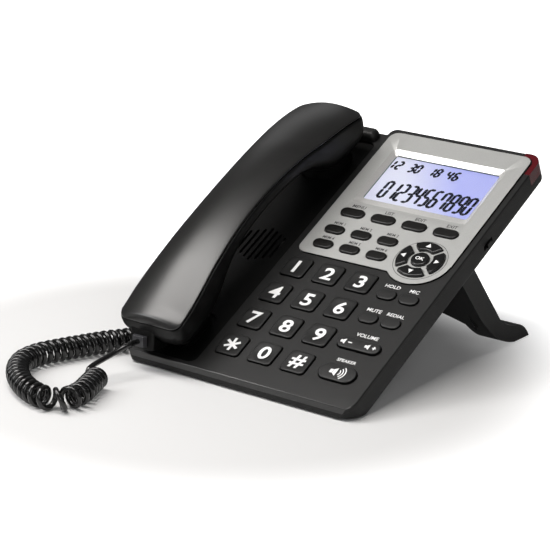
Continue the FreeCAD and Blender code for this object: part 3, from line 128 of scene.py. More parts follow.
class Side(Enum):
    """The two shells of the handset."""

    UPPER = 1
    LOWER = -1


def grey(level: float) -> Colour:
    """A neutral colour."""
    return (level, level, level)


# Finishes


class Nodes:
    """A material's nodes, with short calls for the ones that the finishes share."""

    def __init__(self, name: str) -> None:
        """Starts a material with only a surface shader.

        Args:
            name: the material's name.
        """
        self.material = bpy.data.materials.new(name)
        self.material.use_nodes = True
        self.tree = self.material.node_tree
        self.shader = self.tree.nodes["Principled BSDF"]
        self.place = self.add("ShaderNodeTexCoord").outputs["Object"]

    def add(self, kind: str, **values: object) -> bpy.types.Node:
        """Adds a node.

        Args:
            kind: the node's type.
            **values: attributes of the node to set.

        Returns:
            The node.
        """
        node = self.tree.nodes.new(kind)
        for name, value in values.items():
            setattr(node, name, value)
        return node

    def link(self, source: Socket, target: Socket) -> None:
        """Joins two sockets."""
        self.tree.links.new(source, target)

    def noise(self, size: float, detail: float = 2.0) -> Socket:
        """A noise pattern in space.

        Args:
            size: width of one grain in metres.
            detail: octaves of finer noise.

        Returns:
            The socket with the noise, from 0 to 1.
        """
        texture = self.add("ShaderNodeTexNoise")
        texture.inputs["Scale"].default_value = 1 / size
        texture.inputs["Detail"].default_value = detail
        self.link(self.place, texture.inputs["Vector"])
        return texture.outputs["Fac"]

    def spread(self, fac: Socket, low: float, high: float) -> Socket:
        """Maps the middle of a noise pattern onto a range.

        Args:
            fac: the pattern.
            low: value where the pattern is low.
            high: value where the pattern is high.

        Returns:
            The socket with the value.
        """
        mapping = self.add("ShaderNodeMapRange")
        mapping.inputs["From Min"].default_value = 0.3
        mapping.inputs["From Max"].default_value = 0.7
        mapping.inputs["To Min"].default_value = low
        mapping.inputs["To Max"].default_value = high
        self.link(fac, mapping.inputs["Value"])
        return mapping.outputs["Result"]

    def blend_colours(self, fac: Socket, first: Colour, second: Colour) -> Socket:
        """A colour between two, by a pattern.

        Args:
            fac: the pattern, from 0 to 1.
            first: colour at 0.
            second: colour at 1.

        Returns:
            The socket with the colour.
        """
        ramp = self.add("ShaderNodeValToRGB")
        ramp.color_ramp.elements[0].color = (*first, 1)
        ramp.color_ramp.elements[1].color = (*second, 1)
        ramp.color_ramp.elements[0].position = 0.3
        ramp.color_ramp.elements[1].position = 0.7
        self.link(fac, ramp.inputs["Fac"])
        return ramp.outputs["Color"]

    def tint(self, fac: Socket, colour: Colour, low: float, high: float = 1.0) -> None:
        """Lets a pattern vary the base colour between two shares of it."""
        first, second = (tuple(share * c for c in colour) for share in (low, high))
        self.link(self.blend_colours(fac, first, second), self.shader.inputs["Base Color"])

    def roughen(self, fac: Socket, low: float, high: float) -> None:
        """Lets a pattern vary the roughness."""
        self.link(self.spread(fac, low, high), self.shader.inputs["Roughness"])

    def bump(self, heights: Sequence[tuple[Socket, float]], edge: float = 0.0) -> None:
        """Sets the surface's fine relief.

        Args:
            heights: patterns and how deep each one is, in metres.
            edge: radius that sharp edges seem rounded by, in metres.
        """
        normal = None
        if edge:
            bevel = self.add("ShaderNodeBevel", samples=4)
            bevel.inputs["Radius"].default_value = edge
            normal = bevel.outputs["Normal"]
        for fac, depth in heights:
            node = self.add("ShaderNodeBump")
            node.inputs["Distance"].default_value = depth
            self.link(fac, node.inputs["Height"])
            if normal is not None:
                self.link(normal, node.inputs["Normal"])
            normal = node.outputs["Normal"]
        if normal is not None:
            self.link(normal, self.shader.inputs["Normal"])

    def set(self, **values: float | tuple) -> None:
        """Sets constants on the shader's own sockets, named with underscores for spaces."""
        for name, value in values.items():
            self.shader.inputs[name.replace("_", " ")].default_value = value


@dataclass(frozen=True)
class Plastic:
    """Moulded plastic with a fine grain, slight cloudiness and softly worn edges."""

    name: str
    colour: Colour
    roughness: float
    grain: float = 0.0003
    grain_depth: float = 0.00002
    specular: float = 0.5
    edge: float = 0.0002
    cloud: float = 0.012

    def material(self) -> Material:
        """Makes the material.

        Returns:
            The material.
        """
        nodes = Nodes(self.name)
        nodes.tint(nodes.noise(self.cloud, 3), self.colour, 0.86, 1.12)
        fine = nodes.noise(self.grain, 2)
        nodes.roughen(fine, 0.9 * self.roughness, min(1.1 * self.roughness, 1))
        nodes.bump([(fine, self.grain_depth)], self.edge)
        nodes.set(Specular_IOR_Level=self.specular)
        return nodes.material


@dataclass(frozen=True)
class MetallicPaint:
    """Warm silver paint with fine flakes under a satin lacquer."""

    name: str
    colour: Colour
    roughness: float = 0.4
    flake: float = 0.00022

    def material(self) -> Material:
        """Makes the material.

        Returns:
            The material.
        """
        nodes = Nodes(self.name)
        flakes = nodes.noise(self.flake, 1)
        nodes.tint(flakes, self.colour, 0.9, 1.1)
        nodes.roughen(nodes.noise(0.004, 3), 0.9 * self.roughness, 1.1 * self.roughness)
        nodes.bump([(flakes, 0.000004)], 0.0002)
        nodes.set(Metallic=0.35, Specular_IOR_Level=0.5, Coat_Weight=0.15, Coat_Roughness=0.25)
        return nodes.material


@dataclass(frozen=True)
class Ink:
    """Printed paint, a little uneven."""

    name: str
    colour: Colour
    roughness: float = 0.5
    specular: float = 0.5

    def material(self) -> Material:
        """Makes the material.

        Returns:
            The material.
        """
        nodes = Nodes(self.name)
        mottle = nodes.noise(0.0005, 2)
        nodes.tint(mottle, self.colour, 0.93)
        nodes.bump([(mottle, 0.000004)])
        nodes.set(Roughness=self.roughness, Specular_IOR_Level=self.specular)
        return nodes.material


@dataclass(frozen=True)
class Backlight:
    """Lit glass whose light goes from white at the lower left to blue at the upper right."""

    name: str
    white: Colour
    blue: Colour
    strength: float
    start: Vector
    end: Vector

    def material(self) -> Material:
        """Makes the material.

        Returns:
            The material.
        """
        nodes = Nodes(self.name)
        along = self.end - self.start
        offset = nodes.add("ShaderNodeVectorMath", operation="SUBTRACT")
        offset.inputs[1].default_value = self.start
        nodes.link(nodes.place, offset.inputs[0])
        share = nodes.add("ShaderNodeVectorMath", operation="DOT_PRODUCT")
        share.inputs[1].default_value = along / along.length_squared
        nodes.link(offset.outputs["Vector"], share.inputs[0])
        colour = nodes.blend_colours(share.outputs["Value"], self.white, self.blue)
        nodes.link(colour, nodes.shader.inputs["Emission Color"])
        nodes.roughen(nodes.noise(0.0002, 1), 0.28, 0.34)
        nodes.set(Base_Color=(0.05, 0.05, 0.06, 1), Emission_Strength=self.strength)
        return nodes.material


@dataclass(frozen=True)
class ClearPlastic:
    """Clear moulding, tinted or not."""

    name: str
    colour: Colour
    roughness: float
    transmission: float
    ior: float = 1.45

    def material(self) -> Material:
        """Makes the material.

        Returns:
            The material.
        """
        nodes = Nodes(self.name)
        waves = nodes.noise(0.003, 2)
        nodes.roughen(waves, self.roughness, self.roughness + 0.03)
        nodes.bump([(waves, 0.00001)], 0.0002)
        nodes.set(Base_Color=(*self.colour, 1), Transmission_Weight=self.transmission, IOR=self.ior)
        return nodes.material


@dataclass(frozen=True)
class Steel:
    """Plated steel with fine scratches."""

    name: str
    colour: Colour

    def material(self) -> Material:
        """Makes the material.

        Returns:
            The material.
        """
        nodes = Nodes(self.name)
        scratches = nodes.noise(0.0004, 4)
        nodes.roughen(scratches, 0.25, 0.42)
        nodes.bump([(scratches, 0.00001)], 0.0001)
        nodes.set(Base_Color=(*self.colour, 1), Metallic=1.0)
        return nodes.material


class Finishes:
    """Every finish on the telephone, made once."""

    def __init__(self) -> None:
        """Makes the materials."""
        self.case = Plastic("case_plastic", grey(0.0045), 0.5, grain_depth=0.00003, specular=0.32).material()
        # The face's round front edge is glossier than the case, a real shine, and lighter in colour, a
        # painted highlight.
        self.edge_highlight = Plastic("case_edge_plastic", grey(0.012), 0.3, specular=0.7).material()
        # The hollow that the handset lies in is near black with little shine: painted shade under the
        # handset.
        self.cradle_shade = Plastic("cradle_plastic", grey(0.002), 0.5, specular=0.1).material()
        self.handset = Plastic("handset_plastic", (0.006, 0.0058, 0.0056), 0.31, grain=0.00025,
                               grain_depth=0.000008, specular=0.55).material()
        # The front shell is darker and duller than the back shell: painted shade under the handset.
        self.handset_lower_shade = Plastic("handset_under_plastic", grey(0.002), 0.42, specular=0.2).material()
        self.key_top = Plastic("key_top_plastic", grey(0.006), 0.4, specular=0.3).material()
        # Near black: painted shade on the key skirts and the panel's side edges; also the jacks and switches.
        self.black_and_shade = Plastic("key_skirt_plastic", grey(0.002), 0.3, specular=0.2).material()
        self.pill = Plastic("pill_plastic", (0.004, 0.0036, 0.0032), 0.3, specular=0.35).material()
        self.oval = Plastic("oval_plastic", grey(0.007), 0.4, specular=0.35).material()
        self.nav = Plastic("arrow_key_plastic", grey(0.006), 0.2, specular=0.5).material()
        self.panel = MetallicPaint("panel_paint", (0.41, 0.412, 0.402)).material()
        # The slopes round the display are glossier than the plate, a real shine, and lighter than its own
        # paint, a painted highlight.
        self.bezel_highlight = MetallicPaint("bezel_paint", (0.55, 0.545, 0.53), 0.22).material()
        self.white_ink = Ink("white_ink", grey(0.86)).material()
        self.dark_ink = Ink("dark_ink", grey(0.03)).material()
        self.segment = Ink("segment_ink", (0.001, 0.0015, 0.008), 0.5, 0.05).material()
        self.cord = Plastic("cord_jacket", grey(0.005), 0.2, grain=0.0006, grain_depth=0.000004,
                            specular=0.55, edge=0).material()
        self.rubber = Plastic("rubber", grey(0.02), 0.8, specular=0.2, grain_depth=0.00004).material()
        self.plug = ClearPlastic("plug_clear", (0.06, 0.06, 0.065), 0.15, 0.2).material()
        self.window = ClearPlastic("window_clear", grey(1.0), 0.0, 1.0, 1.15).material()
        self.lamp = ClearPlastic("lamp_red", (0.1, 0.006, 0.01), 0.12, 0.2).material()
        self.board = Plastic("printed_board", (0.02, 0.12, 0.05), 0.4).material()
        self.steel = Steel("plated_steel", grey(0.55)).material()


# Modelling by hand


class Bench:
    """The steps of modelling by hand that the pieces share."""

    @staticmethod
    def take(obj: Object) -> None:
        """Selects one object alone.

        Args:
            obj: the object.
        """
        if bpy.context.object and bpy.context.object.mode != "OBJECT":
            bpy.ops.object.mode_set(mode="OBJECT")
        bpy.ops.object.select_all(action="DESELECT")
        obj.select_set(True)
        bpy.context.view_layer.objects.active = obj

    @staticmethod
    def named(name: str) -> Object:
        """Names the object that was just added.

        Args:
            name: its name.

        Returns:
            The object.
        """
        obj = bpy.context.object
        obj.name = name
        obj.data.name = name
        return obj

    @staticmethod
    def added(name: str, add: Callable, **values: object) -> Object:
        """Adds a shape with one of Blender's own calls, alone selected, and names it.

        Args:
            name: the object's name.
            add: the call.
            **values: what the call is given.

        Returns:
            The object.
        """
        bpy.ops.object.select_all(action="DESELECT")
        add(**values)
        return Bench.named(name)

    @staticmethod
    @contextmanager
    def editing(obj: Object) -> Iterator[None]:
        """Opens an object's mesh with all of it selected, and closes it again.

        Args:
            obj: the object.

        Yields:
            Nothing, while the mesh is open.
        """
        Bench.take(obj)
        bpy.ops.object.mode_set(mode="EDIT")
        bpy.ops.mesh.select_all(action="SELECT")
        yield
        bpy.ops.object.mode_set(mode="OBJECT")

    @staticmethod
    def round_edges(
        obj: Object, wanted: Callable[[Vector, Vector], bool], radius: float, segments: int
    ) -> None:
        """Rounds the edges whose ends pass a test.

        Args:
            obj: the object.
            wanted: from an edge's two ends to whether it is rounded.
            radius: how much it is rounded.
            segments: steps in the rounding.
        """
        with Bench.editing(obj):
            bpy.ops.mesh.select_mode(type="EDGE")
            bpy.ops.mesh.select_all(action="DESELECT")
        spots = [v.co for v in obj.data.vertices]
        for edge in obj.data.edges:
            edge.select = wanted(spots[edge.vertices[0]], spots[edge.vertices[1]])
        bpy.ops.object.mode_set(mode="EDIT")
        bpy.ops.mesh.bevel(offset=radius, offset_type="OFFSET", segments=segments, affect="EDGES")
        bpy.ops.object.mode_set(mode="OBJECT")

    @staticmethod
    def block(name: str, centre: Point, size: Point) -> Object:
        """A block about its centre, to be shaped further.

        Args:
            name: the object's name.
            centre: its middle.
            size: its width, length and height.

        Returns:
            The object.
        """
        obj = Bench.added(name, bpy.ops.mesh.primitive_cube_add, size=1, location=centre)
        obj.scale = size
        bpy.ops.object.transform_apply(location=True, rotation=True, scale=True)
        return obj

    @staticmethod
    def drum(name: str, centre: Point, radius: float, depth: float, sides: int = 48) -> Object:
        """A round block about its centre, to be shaped further.

        Args:
            name: the object's name.
            centre: its middle.
            radius: its radius.
            depth: its height.
            sides: how many sides stand for the round.

        Returns:
            The object.
        """
        add = bpy.ops.mesh.primitive_cylinder_add
        obj = Bench.added(name, add, vertices=sides, radius=radius, depth=depth, location=centre)
        bpy.ops.object.transform_apply(location=True, rotation=True, scale=True)
        return obj

    @staticmethod
    def rounded_block(name: str, centre: Point, size: Point, corner: float, segments: int = 8) -> Object:
        """A block with round upright corners.

        Args:
            name: the piece's name.
            centre: its middle.
            size: its width, length and height.
            corner: radius of the upright corners.
            segments: steps in each round corner.

        Returns:
            The object.
        """
        obj = Bench.block(name, centre, size)
        widest = min(size[0], size[1]) / 2 - 0.01
        Bench.round_edges(obj, lambda a, b: abs(a.z - b.z) > size[2] / 2, min(corner, widest), segments)
        return obj

    @staticmethod
    def loft(name: str, rings: Sequence[Sequence[Point]]) -> Object:
        """A closed skin over rings of points.

        Args:
            name: the piece's name.
            rings: the rings in order, each with as many points as the others.

        Returns:
            The object.
        """
        count = len(rings[0])
        add = bpy.ops.mesh.primitive_grid_add
        obj = Bench.added(name, add, x_subdivisions=count, y_subdivisions=len(rings) - 1, size=2)
        for vertex in obj.data.vertices:
            row, column = divmod(vertex.index, count + 1)
            vertex.co = rings[row][column % count]
        with Bench.editing(obj):
            bpy.ops.mesh.remove_doubles(threshold=1e-4)
            bpy.ops.mesh.fill_holes(sides=0)
        Bench.outward(obj)
        return obj

    @staticmethod
    def modifier(obj: Object, kind: str, **values: object) -> None:
        """Adds a modifier, sets it and applies it.

        Args:
            obj: the object.
            kind: the modifier's type.
            **values: its settings.
        """
        Bench.take(obj)
        made = obj.modifiers.new(kind.lower(), kind)
        for name, value in values.items():
            setattr(made, name, value)
        bpy.ops.object.modifier_apply(modifier=made.name)

    @staticmethod
    def boolean(obj: Object, tool: Object, operation: str) -> None:
        """Joins another closed shape to an object, or cuts it away, and removes the tool."""
        Bench.modifier(obj, "BOOLEAN", operation=operation, object=tool, solver="EXACT")
        bpy.data.objects.remove(tool)

    @staticmethod
    def joined(pieces: list[Object], name: str) -> Object:
        """Joins separate shapes into one object.

        Args:
            pieces: the shapes, none of which is left.
            name: the whole's name.

        Returns:
            The whole.
        """
        Bench.take(pieces[0])
        for piece in pieces:
            piece.select_set(True)
        if len(pieces) > 1:
            bpy.ops.object.join()
        return Bench.named(name)

    @staticmethod
    def smooth(obj: Object, angle: float) -> None:
        """Shades an object smooth, apart from its sharp edges."""
        Bench.take(obj)
        bpy.ops.object.shade_smooth_by_angle(angle=math.radians(angle))

    @staticmethod
    def outward(obj: Object) -> None:
        """Turns every face outwards.

        Args:
            obj: the object.
        """
        with Bench.editing(obj):
            bpy.ops.mesh.remove_doubles(threshold=1e-5)
            bpy.ops.mesh.normals_make_consistent(inside=False)


class Telephone:
    """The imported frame, and how a dressed piece is set down on it."""

    def __init__(self) -> None:
        """Loads the frame and works out where the slab lies."""
        self.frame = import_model()
        self.cad_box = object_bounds()
        low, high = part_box("lower_case")
        middle = (low.x + high.x) / 2
        upright = Matrix.Translation((middle, low.y, 0))
        self.upright = upright @ Matrix.Scale(MM, 4)
        lifted = upright @ Matrix.Translation((0, 0, FRONT_HEIGHT * MM))
        self.slab = lifted @ Matrix.Rotation(TILT, 4, "X") @ Matrix.Scale(MM, 4)
        self.finishes = Finishes()

    def node(self, name: str) -> Object:
        """A node's own object."""
        return self.frame["nodes"][name]

    def body(self, node: str) -> str:
        """The body that a node rides on."""
        return self.node(node)["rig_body"]

    def dress(
        self,
        obj: Object,
        material: Material,
        body: str,
        replaces: Sequence[str] = (),
        place: Matrix | None = None,
    ) -> None:
        """Gives a piece its finish and sets it down on its body.

        Args:
            obj: the piece.
            material: its finish.
            body: the body that it moves with.
            replaces: nodes that it stands for.
            place: from its own frame into the telephone's, the slab's if left out.
        """
        if not obj.data.materials:
            obj.data.materials.append(material)
        obj.data.transform(self.slab if place is None else place)
        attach(obj, body)
        if replaces:
            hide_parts(*replaces)
        LOG.info("%s rides on %s", obj.name, body)

    def recoat(
        self, node: str, name: str, *finishes: Material, choose: Callable[[Vector, float], int] | None = None
    ) -> None:
        """Covers a node with a merged, smoothly shaded copy of it, in one finish or several.

        Args:
            node: the node to copy.
            name: the copy's name.
            *finishes: what its faces are made of.
            choose: from a face's place on the slab, and how far it faces out, to a finish's number.
        """
        obj = bpy.data.objects.new(name, self.node(node).data.copy())
        bpy.context.scene.collection.objects.link(obj)
        obj.data.materials.clear()
        Bench.take(obj)
        bpy.ops.mesh.customdata_custom_splitnormals_clear()
        with Bench.editing(obj):
            bpy.ops.mesh.remove_doubles(threshold=2e-6)
        Bench.smooth(obj, 30)
        for finish in finishes:
            obj.data.materials.append(finish)
        if choose:
            into, out = self.slab.inverted(), Vector(OUT)
            for face in obj.data.polygons:
                face.material_index = choose(into @ face.center, face.normal.dot(out))
        self.dress(obj, finishes[0], self.body(node), [node], Matrix())

    def paint(self, nodes: Sequence[str], material: Material) -> None:
        """Gives nodes that keep their own mesh a finish.

        Args:
            nodes: the nodes.
            material: the finish.
        """
        for name in nodes:
            data = self.node(name).data
            data.materials.clear()
            data.materials.append(material)


# Lettering and signs


class Printer:
    """Printed figures, signs and lines, as thin raised ink."""

    INK = 0.05

    def __init__(self, phone: Telephone) -> None:
        """Keeps the telephone that is printed on."""
        self.phone = phone

    def figures(
        self, name: str, text: str, at: Point, height: float, stretch: float = 1.0, weight: float = 0.0
    ) -> Object:
        """Figures of a given height about a centre.

        Args:
            name: the piece's name.
            text: what is printed.
            at: their centre on the surface.
            height: height of the figures.
            stretch: width, 1 being the face's own.
            weight: how much bolder than the face's own strokes, in shares of the size.

        Returns:
            The object, in the slab's frame.
        """
        obj = Bench.added(name, bpy.ops.object.text_add)
        obj.data.body = text
        obj.data.offset = weight
        obj.data.resolution_u = 4
        obj.data.extrude = 0.01
        bpy.ops.object.convert(target="MESH")
        obj = Bench.named(name)
        spots = [v.co for v in obj.data.vertices]
        low = Vector([min(s[i] for s in spots) for i in range(3)])
        high = Vector([max(s[i] for s in spots) for i in range(3)])
        scale = height / (high.y - low.y)
        size = Matrix.Diagonal((scale * stretch, scale, self.INK / (high.z - low.z), 1))
        obj.data.transform(Matrix.Translation(at) @ size @ Matrix.Translation(-(low + high) / 2))
        return obj

    def polygon(self, name: str, corners: Sequence[Spot], at: Point) -> Object:
        """A flat sign with straight sides, made thick.

        Args:
            name: the piece's name.
            corners: its corners about the place.
            at: its place on the surface.

        Returns:
            The object, in the slab's frame.
        """
        add = bpy.ops.mesh.primitive_circle_add
        obj = Bench.added(name, add, vertices=len(corners), radius=1, fill_type="NGON")
        for vertex, (x, v) in zip(obj.data.vertices, corners):
            vertex.co = (at[0] + x, at[1] + v, at[2] - self.INK / 2)
        with Bench.editing(obj):
            bpy.ops.mesh.extrude_region_move(TRANSFORM_OT_translate={"value": (0, 0, self.INK)})
        Bench.outward(obj)
        return obj

    def bar(self, name: str, width: float, height: float, at: Point) -> Object:
        """A straight bar about its place."""
        w, h = width / 2, height / 2
        return self.polygon(name, [(-w, -h), (w, -h), (w, h), (-w, h)], at)

    def arc(
        self, name: str, at: Point, radius: float, width: float, start: float, end: float, steps: int = 16
    ) -> Object:
        """A curved line between two angles in degrees.

        Args:
            name: the piece's name.
            at: the middle of the circle.
            radius: the circle's radius.
            width: how wide the line is.
            start: where it starts.
            end: where it ends.
            steps: straight pieces that it is made of.

        Returns:
            The object, in the slab's frame.
        """
        outer, inner = radius + width / 2, radius - width / 2
        angles = [math.radians(start + (end - start) * i / steps) for i in range(steps + 1)]
        corners = [(outer * math.cos(a), outer * math.sin(a)) for a in angles]
        corners += [(inner * math.cos(a), inner * math.sin(a)) for a in reversed(angles)]
        return self.polygon(name, corners, at)

    def arrow(self, name: str, at: Point, size: float, way: Way) -> Object:
        """A solid triangle that points one way.

        Args:
            name: the piece's name.
            at: its place on the surface.
            size: its width.
            way: where it points.

        Returns:
            The object, in the slab's frame.
        """
        turn = math.radians(way.value)
        tips = [(-size / 2, -size * 0.4), (size / 2, -size * 0.4), (0.0, size * 0.5)]
        c, sine = math.cos(turn), math.sin(turn)
        corners = [(x * c - v * sine, x * sine + v * c) for x, v in tips]
        return self.polygon(name, corners, at)

    def horn(self, name: str, at: Point, size: float) -> list[Object]:
        """A loudspeaker sign: a square magnet and a flared cone.

        Args:
            name: the piece's name.
            at: its place on the surface.
            size: its height.

        Returns:
            Its two shapes.
        """
        magnet = [(-0.5, -0.22), (-0.2, -0.22), (-0.2, 0.22), (-0.5, 0.22)]
        cone = [(-0.16, -0.22), (0.2, -0.5), (0.2, 0.5), (-0.16, 0.22)]
        return [
            self.polygon(f"{name}_{i}", [(x * size, v * size) for x, v in part], at)
            for i, part in enumerate((magnet, cone))
        ]


class Digit(Enum):
    """Which of the seven bars each figure lights: top, two upper, middle, two lower, bottom."""

    ZERO = "1110111"
    ONE = "0010010"
    TWO = "1011101"
    THREE = "1011011"
    FOUR = "0111010"
    FIVE = "1101011"
    SIX = "1101111"
    SEVEN = "1110010"
    EIGHT = "1111111"
    NINE = "1111011"


@dataclass(frozen=True)
class SevenBars:
    """Slanted figures made of seven bars each."""

    width: float
    height: float
    stroke: float
    slant: float = 0.09

    def bars(self) -> list[tuple[float, float, float, bool]]:
        """Centre, length and lie of each bar, in the order of Digit.

        Returns:
            For each bar its centre, its length and whether it lies flat.
        """
        w, h = self.width / 2, self.height / 2
        across, upright = self.width + 0.1 * self.stroke, h + 0.1 * self.stroke
        return [
            (0, 2 * h, across, True),
            (-w, 1.5 * h, upright, False),
            (w, 1.5 * h, upright, False),
            (0, h, across, True),
            (-w, 0.5 * h, upright, False),
            (w, 0.5 * h, upright, False),
            (0, 0, across, True),
        ]

    def figure(self, printer: Printer, name: str, digit: Digit, at: Point) -> Object:
        """One figure with its lower left bar's foot at a place.

        Args:
            printer: makes the bars.
            name: the piece's name.
            digit: which figure.
            at: foot of the figure's middle.

        Returns:
            The object, in the slab's frame.
        """
        half = self.stroke / 2
        shapes = []
        for i, (lit, (x, v, length, flat)) in enumerate(zip(digit.value, self.bars())):
            if lit == "0":
                continue
            tip = length / 2
            ends = [(-tip, 0), (-tip + half, -half), (tip - half, -half), (tip, 0), (tip - half, half),
                    (-tip + half, half)]
            corners = [(x + a, v + b) if flat else (x - b, v + a) for a, b in ends]
            slanted = [(a + self.slant * b, b) for a, b in corners]
            shapes.append(printer.polygon(f"{name}_bar_{i}", slanted, at))
        return Bench.joined(shapes, name)


# The sub-assemblies


@dataclass(frozen=True)
class Softbox:
    """A soft rectangular light, what it points at, and its size and power."""

    name: str
    place: Point
    aim: Point
    size: Spot
    watts: float
    colour: Colour = (1.0, 1.0, 1.0)

    def hang(self) -> None:
        """Puts the light in its place."""
        data = bpy.data.lights.new(self.name, "AREA")
        data.shape = "RECTANGLE"
        data.size, data.size_y = self.size
        data.energy = self.watts
        data.color = self.colour
        obj = bpy.data.objects.new(self.name, data)
        bpy.context.scene.collection.objects.link(obj)
        turn = (Vector(self.aim) - Vector(self.place)).to_track_quat("-Z", "Y")
        obj.matrix_world = Matrix.Translation(self.place) @ turn.to_matrix().to_4x4()


@dataclass
class Studio:
    """Camera at the photograph's angle, pale floor, soft lights."""

    azimuth: float = 34.7756
    elevation: float = 17.161
    roll: float = 2.5543
    distance: float = 1.2348
    target: Point = (-33.63, 85.50, 28.5)
    lens: float = 134.46
    image_width: float = 550.0
    shift_x: float = -2.14
    shift_y: float = 23.12
    floor_size: float = 12.0
    floor_grey: float = 0.64
    shade_middle: Point = (-0.04, -0.07, 0.0)
    shade_start: float = 0.15
    shade_end: float = 0.27
    shade_low: float = 0.02
    shade_high: float = 1.1
    surround: float = 0.12
    lights: tuple[Softbox, ...] = (
        Softbox("overhead", (-0.44, -0.395, 1.3), (-0.44, -0.395, 0), (1.4, 0.42), 22.0, (1.0, 0.975, 0.95)),
        Softbox("front_left", (-0.65, -0.76, 0.67), (0, 0, 0.05), (0.5, 0.5), 6.0),
        Softbox("front_right", (1.2, -1.2, 0.9), (0, 0, 0.05), (0.8, 0.8), 6.0),
        Softbox("back_left", (-0.9, 0.9, 0.9), (0, 0, 0.1), (0.6, 0.6), 0.6),
    )

    def build(self, phone: Telephone) -> None:
        """Makes the camera, the floor and the lights.

        Args:
            phone: the telephone that they are set round.
        """
        self.camera(phone.upright @ Vector(self.target))
        self.floor()
        self.world()
        for light in self.lights:
            light.hang()

    def camera(self, target: Vector) -> None:
        """Places the camera.

        Args:
            target: what it looks at.
        """
        a, e, r = (math.radians(x) for x in (self.azimuth, self.elevation, self.roll))
        right = Vector((math.cos(a), math.sin(a), 0))
        back = Vector((math.sin(a) * math.cos(e), -math.cos(a) * math.cos(e), math.sin(e)))
        up = back.cross(right)
        rolled_right = right * math.cos(r) + up * math.sin(r)
        rolled_up = up * math.cos(r) - right * math.sin(r)
        data = bpy.data.cameras.new("camera")
        data.sensor_width = 36.0
        data.lens = self.lens
        data.shift_x = self.shift_x / self.image_width
        data.shift_y = self.shift_y / self.image_width
        data.clip_start = 0.05
        data.clip_end = 50
        obj = bpy.data.objects.new("camera", data)
        bpy.context.scene.collection.objects.link(obj)
        axes = Matrix((rolled_right, rolled_up, back)).transposed().to_4x4()
        place = target + back * self.distance
        obj.matrix_world = Matrix.Translation(place) @ axes
        bpy.context.scene.camera = obj

    def floor(self) -> None:
        """Lays a white floor that keeps the soft shadow. Its glow for camera rays fades out near the
        telephone, a painted shade that adds to the real shadow there.
        """
        obj = Bench.added("floor", bpy.ops.mesh.primitive_plane_add, size=self.floor_size)
        nodes = Nodes("floor_paint")
        nodes.set(Base_Color=(*[self.floor_grey] * 3, 1), Roughness=0.7, Specular_IOR_Level=0.2)
        nodes.set(Emission_Color=(1, 1, 1, 1))
        rays = nodes.add("ShaderNodeLightPath")
        # The glow is weakest round shade_middle: painted shade on the floor near the telephone.
        reach = nodes.add("ShaderNodeVectorMath", operation="DISTANCE")
        nodes.link(nodes.place, reach.inputs[0])
        reach.inputs[1].default_value = self.shade_middle
        rise = nodes.add("ShaderNodeMapRange", interpolation_type="SMOOTHSTEP")
        rise.inputs["From Min"].default_value = self.shade_start
        rise.inputs["From Max"].default_value = self.shade_end
        rise.inputs["To Min"].default_value = self.shade_low
        rise.inputs["To Max"].default_value = self.shade_high
        nodes.link(reach.outputs["Value"], rise.inputs["Value"])
        lift = nodes.add("ShaderNodeMath", operation="MULTIPLY")
        nodes.link(rise.outputs["Result"], lift.inputs[1])
        nodes.link(rays.outputs["Is Camera Ray"], lift.inputs[0])
        nodes.link(lift.outputs["Value"], nodes.shader.inputs["Emission Strength"])
        obj.data.materials.append(nodes.material)
        obj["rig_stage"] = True

    def world(self) -> None:
        """Sets a white surround that lights softly."""
        world = bpy.data.worlds.new("surround")
        bpy.context.scene.world = world
        world.use_nodes = True
        tree = world.node_tree
        background = tree.nodes["Background"]
        background.inputs["Color"].default_value = (1, 1, 1, 1)
        rays = tree.nodes.new("ShaderNodeLightPath")
        clear = tree.nodes.new("ShaderNodeMath")
        clear.operation = "MAXIMUM"
        tree.links.new(rays.outputs["Is Camera Ray"], clear.inputs[0])
        tree.links.new(rays.outputs["Is Transmission Ray"], clear.inputs[1])
        level = tree.nodes.new("ShaderNodeMapRange")
        level.inputs["To Min"].default_value = self.surround
        level.inputs["To Max"].default_value = 1.0
        tree.links.new(clear.outputs["Value"], level.inputs["Value"])
        tree.links.new(level.outputs["Result"], background.inputs["Strength"])


